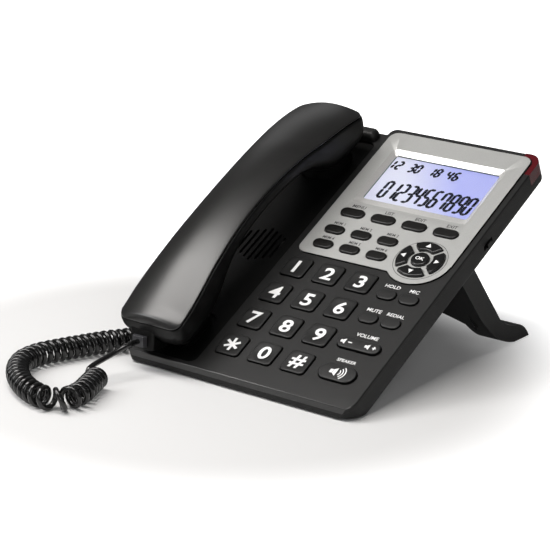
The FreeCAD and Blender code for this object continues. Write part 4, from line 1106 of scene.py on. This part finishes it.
@dataclass
class Cord:
    """The curly cord from the base's left wall to the handset, upright, in millimetres."""

    diameter: float = 3.2
    curl_radius: float = 5.4
    pitch: float = 4.5
    axis_z: float = 7.05
    steps_per_turn: int = 16
    start_turn: float = math.radians(90)
    end_turn: float = math.radians(270)
    bend_span: float = 11.0
    plug_y: float = 31.65
    plug_z: float = 14.35
    plug_x: float = -80.5
    handset_end: Point = (-62.0, -11.6, 18.5)
    tail: Point = (-66.5, -33.0, 13.5)
    tail_way: Point = (0.1, 0.97, 0.2)
    length: float = 1449.0
    bend_start: Point = (-115.0, -44.0, 10.0)
    bend_end: Point = (-86.2, -58.4, 10.0)
    step: float = 0.25
    rise: float = 3.5
    route: tuple[Spot, ...] = (
        (-86.5, 27.0),
        (-89.6, 14.0),
        (-96.0, 4.0),
        (-100.6, -9.0),
        (-106.6, -26.0),
        (-111.6, -44.0),
        (-108.0, -62.0),
        (-92.0, -80.0),
        (-70.0, -93.0),
        (-51.0, -94.0),
        (-48.5, -78.0),
        (-55.0, -62.0),
        (-62.0, -45.0),
    )

    @staticmethod
    def spline(name: str, points: Sequence[Vector], resolution: int) -> Object:
        """A smooth open line with these control points.

        Args:
            name: the line's name.
            points: the control points.
            resolution: steps between two of them.

        Returns:
            The line.
        """
        data = bpy.data.curves.new(name, "CURVE")
        data.dimensions = "3D"
        data.resolution_u = resolution
        spline = data.splines.new("NURBS")
        spline.points.add(len(points) - 1)
        for point, place in zip(spline.points, points):
            point.co = (*place, 1)
        spline.order_u = 3
        spline.use_endpoint_u = True
        obj = bpy.data.objects.new(name, data)
        bpy.context.scene.collection.objects.link(obj)
        return obj

    @staticmethod
    def line_of(obj: Object) -> list[Vector]:
        """Points along a spline that has no thickness.

        Args:
            obj: the spline.

        Returns:
            The points.
        """
        mesh = bpy.data.meshes.new_from_object(obj)
        line = [v.co.copy() for v in mesh.vertices]
        bpy.data.meshes.remove(mesh)
        return line

    def evenly(self, line: Sequence[Vector], step: float) -> list[Vector]:
        """The same line with its points a step apart.

        Args:
            line: points along the line.
            step: the distance.

        Returns:
            The new points.
        """
        even = [line[0].copy()]
        left = step
        for here, after in zip(line, line[1:]):
            run = (after - here).length
            travelled = 0.0
            while run - travelled >= left:
                travelled += left
                even.append(here.lerp(after, travelled / run))
                left = step
            left -= run - travelled
        return even

    def curls(self, axis: Sequence[Vector], step: float) -> list[Vector]:
        """The wire's centre along the curls, which open where the axis bends.

        Args:
            axis: points along the curls' axis, a step apart.
            step: the distance between them.

        Returns:
            The wire's points, steps_per_turn to a turn.
        """
        span = round(self.bend_span / step)
        last = len(axis) - 1
        phases = [0.0]
        for i in range(1, len(axis)):
            bend = 0.0
            if span <= i <= last - span:
                turn = (axis[i] - axis[i - span]).angle(axis[i + span] - axis[i])
                bend = turn / (span * step)
            phases.append(phases[-1] + 2 * math.pi * step * (1 - self.curl_radius * bend) / self.pitch)
        turns = int((phases[-1] - self.end_turn) / (2 * math.pi))
        end = 2 * math.pi * turns + self.end_turn
        wire = []
        turn, i = self.start_turn, 1
        while turn < end + 0.01:
            while i < last and phases[i] < turn:
                i += 1
            share = (turn - phases[i - 1]) / (phases[i] - phases[i - 1])
            centre = axis[i - 1].lerp(axis[i], share)
            before, after = (axis[min(k + 3, last)] - axis[max(k - 3, 0)] for k in (i - 1, i))
            along = before.lerp(after, share).normalized()
            sideways = along.cross(Vector((0, 0, 1)))
            upward = Vector((0, 0, self.curl_radius * math.cos(turn)))
            wire.append(centre + upward + sideways * (self.curl_radius * math.sin(turn)))
            turn += 2 * math.pi / self.steps_per_turn
        return wire

    def centreline(self) -> list[Vector]:
        """Control points of the whole cord, from the base plug to the handset plug.

        Returns:
            The points, in millimetres.
        """
        route = self.spline("curl_route", [Vector((x, y, self.axis_z)) for x, y in self.route], 40)
        line = self.line_of(route)
        bpy.data.objects.remove(route)
        wire = self.curls(self.evenly(line, self.step), self.step)
        start = Vector((self.plug_x, self.plug_y, self.plug_z))
        out = Vector((-self.diameter, 0, 0))
        first = [start, start + out, start + 2 * out, wire[0] + Vector((0, 0, self.rise))]
        end, tail, way = Vector(self.handset_end), Vector(self.tail), Vector(self.tail_way).normalized()
        leaving = (wire[-1] - wire[-2]).normalized()
        straight = Vector((0, self.diameter, 0))
        final = [wire[-1] + leaving * 4, tail - way * 6, tail, tail + way * 7]
        final += [end - straight * 2.5, end - straight, end]
        return first + wire + final

    def build(self, phone: Telephone) -> Object:
        """Makes the cord as one tube.

        Args:
            phone: the telephone that it hangs on.

        Returns:
            The cord.
        """
        control = [phone.upright @ p for p in self.centreline()]
        obj = self.spline("curly_cord", control, 2)
        path = self.line_of(obj)
        obj.data.bevel_depth = self.diameter * MM / 2
        obj.data.bevel_resolution = 3
        obj.data.use_fill_caps = True
        Bench.take(obj)
        bpy.ops.object.convert(target="MESH")
        obj = Bench.named("curly_cord")
        bpy.ops.object.shade_smooth()
        obj.data.materials.clear()
        obj.data.materials.append(phone.finishes.cord)
        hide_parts("handset_cord")
        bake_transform(obj)
        length = sum((b - a).length for a, b in zip(path, path[1:]))
        LOG.info("cord is %.4f m long", length)
        return obj


@dataclass
class Case:
    """Both halves of the base, and the lamp at its rear corner."""

    cradle_edge: float = -31.0
    cradle_length: Spot = (1.5, 215.0)
    cradle_depth: Spot = (-8.0, -0.3)
    front_edge: float = 3.0

    def area(self, place: Vector, out: float) -> int:
        """1 in the hollow that the handset lies in, painted near black as shade; 2 on the face's round front
        edge, painted lighter as a highlight; 0 elsewhere.

        Args:
            place: a face's place on the slab.
            out: how far it faces out.

        Returns:
            The finish's number.
        """
        # Faces on the round front edge get the painted highlight finish.
        if place.y < self.front_edge and place.z > -self.front_edge and 0.3 < out < 0.97:
            return 2
        # Faces in the hollow under the handset get the painted shade finish.
        front, rear = self.cradle_length
        low, high = self.cradle_depth
        across = 1 - HALF_WIDTH < place.x < self.cradle_edge
        return int(across and front < place.y < rear and low < place.z < high and out > -0.2)

    def build(self, phone: Telephone) -> None:
        """Dresses the base.

        Args:
            phone: the telephone.
        """
        finishes = phone.finishes
        top = (finishes.case, finishes.cradle_shade, finishes.edge_highlight)
        phone.recoat("upper_case", "case_top", *top, choose=self.area)
        phone.recoat("lower_case", "case_tray", finishes.case)
        phone.recoat("message_lamp", "corner_lamp", finishes.lamp)
        phone.paint(["front_feet", "rear_bumpers", "stand_pads", "keypad_mat"], finishes.rubber)
        phone.paint(["main_board"], finishes.board)
        phone.paint(["base_jack", "line_jack", "ringer_switch", "hook_plunger"], finishes.black_and_shade)
        phone.paint(["loudspeaker", "receiver_capsule", "microphone_capsule", "case_screws"], finishes.steel)
        phone.paint(["handset_plug", "base_plug"], finishes.plug)
        phone.recoat("rear_stand", "tilt_stand", finishes.case)


class Ring(NamedTuple):
    """A ring's place along the slope, its half width, and its rim, underside and crown."""

    v: float
    width: float
    rim: float
    under: float
    crown: float


@dataclass
class Handset:
    """The two shells of the handset, each skinned over rings of points.

    Each station has its place along the slope, half width, rim and underside. Each end has its
    place, rim, corner radius seen from above, and underside.
    """

    x: float = -56.0
    mouth_end: tuple[float, float, float, float] = (0.8, 26.0, 6.0, 17.0)
    ear_end: tuple[float, float, float, float] = (210.0, 24.6, 9.0, 18.0)
    stations: tuple[tuple[float, float, float, float], ...] = (
        (12.0, 21.9, 27.9, 3.2),
        (20.0, 22.0, 29.7, 2.0),
        (31.0, 21.4, 32.1, 2.0),
        (44.0, 20.2, 35.0, 5.0),
        (56.0, 19.5, 36.9, 15.0),
        (68.0, 18.7, 38.6, 23.0),
        (88.0, 17.7, 40.4, 27.0),
        (112.0, 17.7, 40.9, 28.3),
        (136.0, 18.9, 39.5, 26.8),
        (150.0, 19.8, 38.0, 22.5),
        (162.0, 21.3, 35.9, 12.5),
        (172.0, 21.9, 34.4, 4.0),
        (186.0, 22.4, 31.7, 2.2),
        (196.0, 22.5, 29.0, 2.4),
    )
    crown: float = 4.0
    round_off: tuple[float, ...] = (0.0, 0.25, 0.8, 2.0, 4.2, 7.0, 9.6)
    ear_v: float = 186.0
    ear_radius: float = 16.5
    ear_bottom: float = -4.7
    mouth_v: float = 27.0
    mouth_size: Spot = (26.0, 27.0)
    mouth_corner: float = 6.0
    mouth_bottom: float = -2.2
    piece_top: float = 6.0
    groove: float = 1.7
    shoulder: float = 0.8
    belly: float = 4.5
    hole_radius: float = 0.9
    hole_depth: float = 3.0
    hole_circle: float = 9.0
    hole_count: int = 8

    def end(self, end: tuple[float, ...], station: tuple[float, ...]) -> list[Ring]:
        """The rings that close one end.

        Args:
            end: the end's place, rim, corner radius and underside.
            station: the station next to it.

        Returns:
            The rings, from the end inwards.
        """
        v0, rim0, radius, under0 = end
        v1, width1, rim1, under1 = station
        rings = []
        for depth in self.round_off:
            share = depth / abs(v1 - v0)
            width = width1 - radius + math.sqrt(radius**2 - max(radius - depth, 0) ** 2)
            under = under0 + (under1 - under0) * (1 - (1 - share) ** 2.4)
            crown = self.crown * (1 - (1 - min(depth / 1.6, 1)) ** 2)
            v = v0 + math.copysign(depth, v1 - v0)
            rings.append(Ring(v, width, rim0 + (rim1 - rim0) * share, under, crown))
        return rings

    def rings(self) -> list[Ring]:
        """Every ring from the mouth to the ear.

        Returns:
            The rings.
        """
        middle = [Ring(*station, self.crown) for station in self.stations]
        ear = self.end(self.ear_end, self.stations[-1])
        return self.end(self.mouth_end, self.stations[0]) + middle + ear[::-1]

    def closed(self, ring: Ring, right: Sequence[Spot], chord: float) -> list[Point]:
        """The points round a ring, from its right half and a flat chord.

        Args:
            ring: where it lies.
            right: distance from the middle and height over the rim, the last on the middle.
            chord: height of the flat chord between the half's ends.

        Returns:
            The points.
        """
        half = [*right, *((-x, n) for x, n in reversed(right[:-1]))]
        half += [(right[0][0] * share, chord) for share in (-0.5, 0, 0.5)]
        return [(self.x + x, ring.v, ring.rim + n) for x, n in half]

    def upper(self, ring: Ring) -> list[Point]:
        """A ring of the back: a thin edge and a low crown.

        Args:
            ring: where it lies.

        Returns:
            The points round it.
        """
        width, flat = ring.width, ring.width - 0.3
        right = [(width - 0.25, -1.2), (width, -0.9), (width, -0.35), (flat, -0.08)]
        right += [(flat * t, ring.crown * (1 - t * t)) for t in (0.95, 0.85, 0.7, 0.5, 0.25, 0.0)]
        return self.closed(ring, right, -1.2)

    def lower(self, ring: Ring) -> list[Point]:
        """A ring of the front: a shoulder under the groove and a boxy belly.

        Args:
            ring: where it lies.

        Returns:
            The points round it.
        """
        width, wide = ring.width, ring.width + self.shoulder
        right = [(width - 0.9, -self.groove), (width + 0.3, -1.8), (wide, -2.5), (wide, -4.0)]
        depth = ring.rim - self.belly - ring.under
        for degrees in (8, 22, 38, 54, 70, 82, 90):
            turn = math.radians(degrees)
            c, sine = max(math.cos(turn), 0.0), math.sin(turn)
            out = wide * c ** (2 / 3) if degrees < 90 else 0.0
            right.append((out, -self.belly - depth * sine ** (2 / 3)))
        return self.closed(ring, right, -self.groove)

    def build(self, phone: Telephone) -> None:
        """Dresses the handset.

        Args:
            phone: the telephone.
        """
        for side, node, make in (
            (Side.UPPER, "handset_upper_shell", self.upper),
            (Side.LOWER, "handset_lower_shell", self.lower),
        ):
            obj = Bench.loft(f"handset_{side.name.lower()}", [make(ring) for ring in self.rings()])
            Bench.modifier(obj, "SUBSURF", levels=2, render_levels=2)
            finish = phone.finishes.handset
            if side is Side.LOWER:
                self.front_details(phone, obj)
                # The front shell, turned towards the cradle, is painted darker as shade.
                finish = phone.finishes.handset_lower_shade
            Bench.smooth(obj, 50)
            phone.dress(obj, finish, "handset", [node])

    def front_details(self, phone: Telephone, shell: Object) -> None:
        """Adds the raised ear and mouth pieces with their holes, and the socket block.

        Args:
            phone: the telephone.
            shell: the front shell.
        """
        top = self.piece_top
        depth = top - self.ear_bottom
        ear = Bench.drum("ear_drum", (self.x, self.ear_v, top - depth / 2), self.ear_radius, depth)
        depth = top - self.mouth_bottom
        middle = (self.x, self.mouth_v, top - depth / 2)
        mouth = Bench.rounded_block("mouth_block", middle, (*self.mouth_size, depth), self.mouth_corner)
        block = Bench.rounded_block("socket_block", (-62.0, -0.6, 19.3), (17.0, 16.0, 11.4), 2.0)
        hole = Bench.block("plug_hole", (-62.0, -5.5, 18.5), (8.6, 14.0, 7.0))
        upright = phone.slab.inverted() @ phone.upright
        block.data.transform(upright)
        hole.data.transform(upright)
        for piece in (ear, mouth, block):
            Bench.boolean(shell, piece, "UNION")
        Bench.boolean(shell, hole, "DIFFERENCE")
        spots = [(self.x + 3.0 * i, self.mouth_v, self.mouth_bottom) for i in (-1, 0, 1)]
        for i in range(self.hole_count):
            turn = 2 * math.pi * (i + 0.5) / self.hole_count
            x, v = self.hole_circle * math.cos(turn), self.hole_circle * math.sin(turn)
            spots.append((self.x + x, self.ear_v + v, self.ear_bottom))
        drills = [
            Bench.drum(f"drill_{i}", spot, self.hole_radius, self.hole_depth, 12)
            for i, spot in enumerate(spots)
        ]
        Bench.boolean(shell, Bench.joined(drills, "drills"), "DIFFERENCE")


@dataclass
class Keypad:
    """Number keys, oval keys, rocker and loudspeaker key on the base's face."""

    first: Spot = (-17.5, 22.6)
    pitch: Spot = (22.8, 23.3)
    rise: float = 1.3
    dish: float = 0.35
    dish_radius: float = 60.0
    figure_height: float = 10.0
    star_reach: float = 5.05
    star_stroke: float = 1.7
    rows: tuple[tuple[tuple[str, str], ...], ...] = (
        (("star", "*"), ("0", "0"), ("hash", "#")),
        (("7", "7"), ("8", "8"), ("9", "9")),
        (("4", "4"), ("5", "5"), ("6", "6")),
        (("1", "1"), ("2", "2"), ("3", "3")),
    )
    words: tuple[tuple[str, float, float, float], ...] = (
        ("HOLD", 48.2, 95.6, 2.7),
        ("MIC", 62.9, 95.5, 2.7),
        ("MUTE", 48.2, 74.4, 2.7),
        ("REDIAL", 62.7, 74.4, 2.5),
        ("VOLUME", 55.7, 54.2, 2.7),
        ("SPEAKER", 54.7, 32.9, 2.3),
    )
    rocker_place: Spot = (55.4, 45.5)
    rocker_top: float = 1.7
    rocker_spread: float = 8.0
    dash: Spot = (2.4, 0.7)
    speaker_place: Spot = (55.2, 22.3)
    speaker_top: float = 1.7

    def skirt_in_shade(self, phone: Telephone, node: str, name: str, top: Material) -> None:
        """Dresses a key with its skirt in a near-black finish, painted shade, and its top in another finish.
        """
        # Faces that do not face out, the skirt, get the painted shade finish.
        phone.recoat(node, name, phone.finishes.black_and_shade, top, choose=lambda place, out: int(out > 0.45))

    def star(self, printer: Printer, name: str, at: Point) -> Object:
        """A star of six straight arms.

        Args:
            printer: makes the ink.
            name: the piece's name.
            at: its place on the surface.

        Returns:
            The object, in the slab's frame.
        """
        reach, stroke = self.star_reach, self.star_stroke
        corners = []
        for i in range(6):
            turn = math.radians(90 + 60 * i)
            c, sine = math.cos(turn), math.sin(turn)
            start = math.radians(60 + 60 * i)
            corners.append((stroke * math.cos(start), stroke * math.sin(start)))
            for side in (-0.5, 0.5):
                corners.append((reach * c - side * stroke * sine, reach * sine + side * stroke * c))
        return printer.polygon(name, corners, at)

    def number_key(self, phone: Telephone, printer: Printer, key: str, sign: str, x: float, v: float) -> None:
        """One number key with its figure.

        Args:
            phone: the telephone.
            printer: makes the ink.
            key: the end of its node's name.
            sign: its figure.
            x: its place across the face.
            v: its place up the face.
        """
        node = "number_key_" + key
        self.skirt_in_shade(phone, node, f"cap_{key}", phone.finishes.key_top)
        low = self.rise - self.dish + Printer.INK / 2
        if sign == "*":
            figure = self.star(printer, f"figure_{key}", (x, v, low))
        else:
            figure = printer.figures(f"figure_{key}", sign, (x, v, low), self.figure_height, 1.12, 0.02)
        for vertex in figure.data.vertices:
            away = (vertex.co.x - x) ** 2 + (vertex.co.y - v) ** 2
            vertex.co.z += away / (2 * self.dish_radius)
        phone.dress(figure, phone.finishes.white_ink, phone.body(node))

    def build(self, phone: Telephone, printer: Printer) -> None:
        """Dresses every key on the face.

        Args:
            phone: the telephone.
            printer: makes the ink.
        """
        finishes = phone.finishes
        for row, keys in enumerate(self.rows):
            for column, (key, sign) in enumerate(keys):
                x = self.first[0] + column * self.pitch[0]
                v = self.first[1] + row * self.pitch[1]
                self.number_key(phone, printer, key, sign, x, v)
        for i in range(4):
            self.skirt_in_shade(phone, f"oval_key_{i + 1}", f"oval_cap_{i + 1}", finishes.oval)
        for word, x, v, height in self.words:
            label = printer.figures("word_" + word, word, (x, v, printer.INK / 2), height, 1.0, 0.01)
            phone.dress(label, finishes.white_ink, "base")
        self.rocker(phone, printer)
        self.speaker_key(phone, printer)

    def rocker(self, phone: Telephone, printer: Printer) -> None:
        """The volume rocker with its two signs.

        Args:
            phone: the telephone.
            printer: makes the ink.
        """
        self.skirt_in_shade(phone, "volume_rocker", "rocker_cap", phone.finishes.oval)
        x, v = self.rocker_place
        high = self.rocker_top + printer.INK / 2
        for name, side, plus in (("softer", -1, False), ("louder", 1, True)):
            middle = x + side * self.rocker_spread
            sign_place = (middle + 2.2, v, high)
            shapes = printer.horn(f"{name}_horn", (middle - 1.8, v, high), 4.2)
            shapes.append(printer.bar(f"{name}_dash", *self.dash, sign_place))
            if plus:
                shapes.append(printer.bar(f"{name}_bar", *self.dash[::-1], sign_place))
            sign = Bench.joined(shapes, f"rocker_sign_{name}")
            phone.dress(sign, phone.finishes.white_ink, "rocker")

    def speaker_key(self, phone: Telephone, printer: Printer) -> None:
        """The loudspeaker key with its sign.

        Args:
            phone: the telephone.
            printer: makes the ink.
        """
        self.skirt_in_shade(phone, "speaker_button", "speaker_cap", phone.finishes.oval)
        x, v = self.speaker_place
        high = self.speaker_top + printer.INK / 2
        shapes = printer.horn("speaker_horn", (x - 1.6, v, high), 6.2)
        for i in range(3):
            radius = 2.4 + 1.6 * i
            shapes.append(printer.arc(f"speaker_wave_{i}", (x - 0.4, v, high), radius, 0.65, -50, 50))
        sign = Bench.joined(shapes, "speaker_sign")
        phone.dress(sign, phone.finishes.white_ink, phone.body("speaker_button"))


@dataclass
class Panel:
    """The silver panel with its small keys, arrow keys and display."""

    rise: float = 1.0
    key_rise: float = 1.7
    function_first: Spot = (-9.8, 145.2)
    function_pitch: float = 21.8
    function_words: tuple[str, ...] = ("MENU", "LIST", "EDIT", "EXIT")
    function_label: Spot = (0.8, 6.6)
    memory_first: Spot = (-12.6, 115.2)
    memory_pitch: Spot = (18.8, 13.4)
    memory_label: float = 6.2
    nav: Spot = (52.8, 119.8)
    arrow_reach: float = 11.4
    ring_radius: float = 16.4
    ring_width: float = 0.35
    opening: tuple[float, float, float, float] = (-18.0, 63.7, 154.8, 208.9)
    window: tuple[float, float, float, float] = (-13.0, 59.0, 163.0, 204.0)
    window_top: float = -1.4
    window_depth: Spot = (0.1, 0.6)
    glass_top: float = -2.6
    glass_depth: float = 0.6
    glass_margin: float = 1.0
    glass_corner: float = 1.0
    pale: Colour = (0.80, 0.82, 1.0)
    blue: Colour = (0.42, 0.46, 1.0)
    glow: float = 0.76
    row_feet: Spot = (194.0, 167.2)
    small_bars: SevenBars = SevenBars(2.7, 7.2, 1.7, 0.14)
    large_bars: SevenBars = SevenBars(3.7, 15.0, 2.0, 0.085)

    def area(self, place: Vector, out: float) -> int:
        """0 on the plate, 1 on the slopes round the display, painted lighter as a highlight, 2 on the side
        edges, painted near black as shade.

        Args:
            place: a face's place on the slab.
            out: how far it faces out.

        Returns:
            The finish's number.
        """
        left, right, front, rear = self.opening
        if left < place.x < right and front < place.y < rear:
            return 1
        # Side edges of the silver plate get the painted shade finish.
        return 0 if out > 0.5 else 2

    def build(self, phone: Telephone, printer: Printer) -> None:
        """Dresses the panel and what lies in it.

        Args:
            phone: the telephone.
            printer: makes the ink.
        """
        finishes = phone.finishes
        plate = (finishes.panel, finishes.bezel_highlight, finishes.black_and_shade)
        phone.recoat("display_panel", "silver_panel", *plate, choose=self.area)
        top = self.rise + printer.INK / 2
        for i in range(4):
            phone.recoat(f"function_key_{i + 1}", f"function_cap_{i + 1}", finishes.pill)
            x, v = self.function_first
            place = (x + self.function_label[0] + i * self.function_pitch, v + self.function_label[1], top)
            word = self.function_words[i]
            label = printer.figures(f"function_label_{i + 1}", word, place, 2.6, 0.95, 0.012)
            phone.dress(label, finishes.dark_ink, "base")
        for i in range(6):
            phone.recoat(f"memory_key_{i + 1}", f"memory_cap_{i + 1}", finishes.pill)
            x = self.memory_first[0] + (i % 3) * self.memory_pitch[0]
            v = self.memory_first[1] + (1 - i // 3) * self.memory_pitch[1] + self.memory_label
            label = printer.figures(f"memory_label_{i + 1}", f"MEM {i + 1}", (x, v, top), 2.3, 0.9, 0.012)
            phone.dress(label, finishes.dark_ink, "base")
        self.arrows(phone, printer)
        self.screen(phone, printer)

    def arrows(self, phone: Telephone, printer: Printer) -> None:
        """The arrow keys, their signs and the engraved ring round them.

        Args:
            phone: the telephone.
            printer: makes the ink.
        """
        x, v = self.nav
        high = self.rise + self.key_rise + printer.INK / 2
        places = {Way.RIGHT: (1, 0), Way.UP: (0, 1), Way.LEFT: (-1, 0), Way.DOWN: (0, -1)}
        for way, (right, up) in places.items():
            side = way.name.lower()
            node = f"nav_key_{side}"
            phone.recoat(node, f"arrow_cap_{side}", phone.finishes.nav)
            at = (x + right * self.arrow_reach, v + up * self.arrow_reach, high)
            sign = printer.arrow(f"arrow_sign_{side}", at, 3.4, way)
            phone.dress(sign, phone.finishes.white_ink, phone.body(node))
        phone.recoat("nav_key_centre", "centre_cap", phone.finishes.nav)
        sign = printer.figures("centre_sign", "OK", (x, v, high), 2.6, 1.1, 0.02)
        phone.dress(sign, phone.finishes.white_ink, phone.body("nav_key_centre"))
        low = (x, v, self.rise + 0.01)
        halves = [
            printer.arc(f"arrow_ring_{start}", low, self.ring_radius, self.ring_width, start, start + 180, 36)
            for start in (0, 180)
        ]
        ring = Bench.joined(halves, "arrow_ring")
        phone.dress(ring, phone.finishes.dark_ink, "base")

    def screen(self, phone: Telephone, printer: Printer) -> None:
        """The lit display with its figures under a clear window.

        Args:
            phone: the telephone.
            printer: makes the ink.
        """
        left, right, front, rear = self.window
        start = phone.slab @ Vector((left, front, 0))
        end = phone.slab @ Vector((right, rear, 0))
        light = Backlight("backlight", self.pale, self.blue, self.glow, start, end).material()
        middle = ((left + right) / 2, (front + rear) / 2)
        size = (right - left + 2 * self.glass_margin, rear - front + 2 * self.glass_margin)
        depth = self.glass_depth
        place = (*middle, self.glass_top - depth / 2)
        glass = Bench.rounded_block("lit_glass", place, (*size, depth), self.glass_corner, 3)
        phone.dress(glass, light, "base", ["display_module"])
        shown = Bench.joined(self.shown(printer), "display_figures")
        phone.dress(shown, phone.finishes.segment, "base")
        high, low = self.window_depth
        place = (*middle, self.window_top - (high + low) / 2)
        window = Bench.rounded_block("clear_window", place, (*size, low - high), self.glass_corner, 3)
        phone.dress(window, phone.finishes.window, "base", ["display_window"])

    def shown(self, printer: Printer) -> list[Object]:
        """The figures that the display shows: a short row above a long one.

        Args:
            printer: makes the ink.

        Returns:
            The figures.
        """
        high = self.glass_top + printer.INK / 2
        order = list(Digit)
        first = ((-13.9, 1), (-8.7, 2), (0.7, 3), (5.1, 0), (14.8, 1), (19.4, 8), (27.3, 4), (32.1, 6))
        figures = [
            self.small_bars.figure(printer, f"small_figure_{i}", order[digit], (x, self.row_feet[0], high))
            for i, (x, digit) in enumerate(first)
        ]
        places = (-5.2, 0.6, 6.4, 12.3, 18.1, 24.0, 29.9, 36.0, 42.0, 48.0, 53.8)
        for i, x in enumerate(places):
            foot = (x, self.row_feet[1], high)
            figures.append(self.large_bars.figure(printer, f"large_figure_{i}", order[i % 10], foot))
        return figures


def main() -> None:
    """Builds the telephone's looks in order."""
    logging.basicConfig(level=logging.INFO, format="%(name)s: %(message)s")
    bpy.context.scene.view_settings.view_transform = "Standard"
    phone = Telephone()
    Studio().build(phone)
    Cord().build(phone)
    printer = Printer(phone)
    Case().build(phone)
    Handset().build(phone)
    Keypad().build(phone, printer)
    Panel().build(phone, printer)


if __name__ == "__main__":
    main()
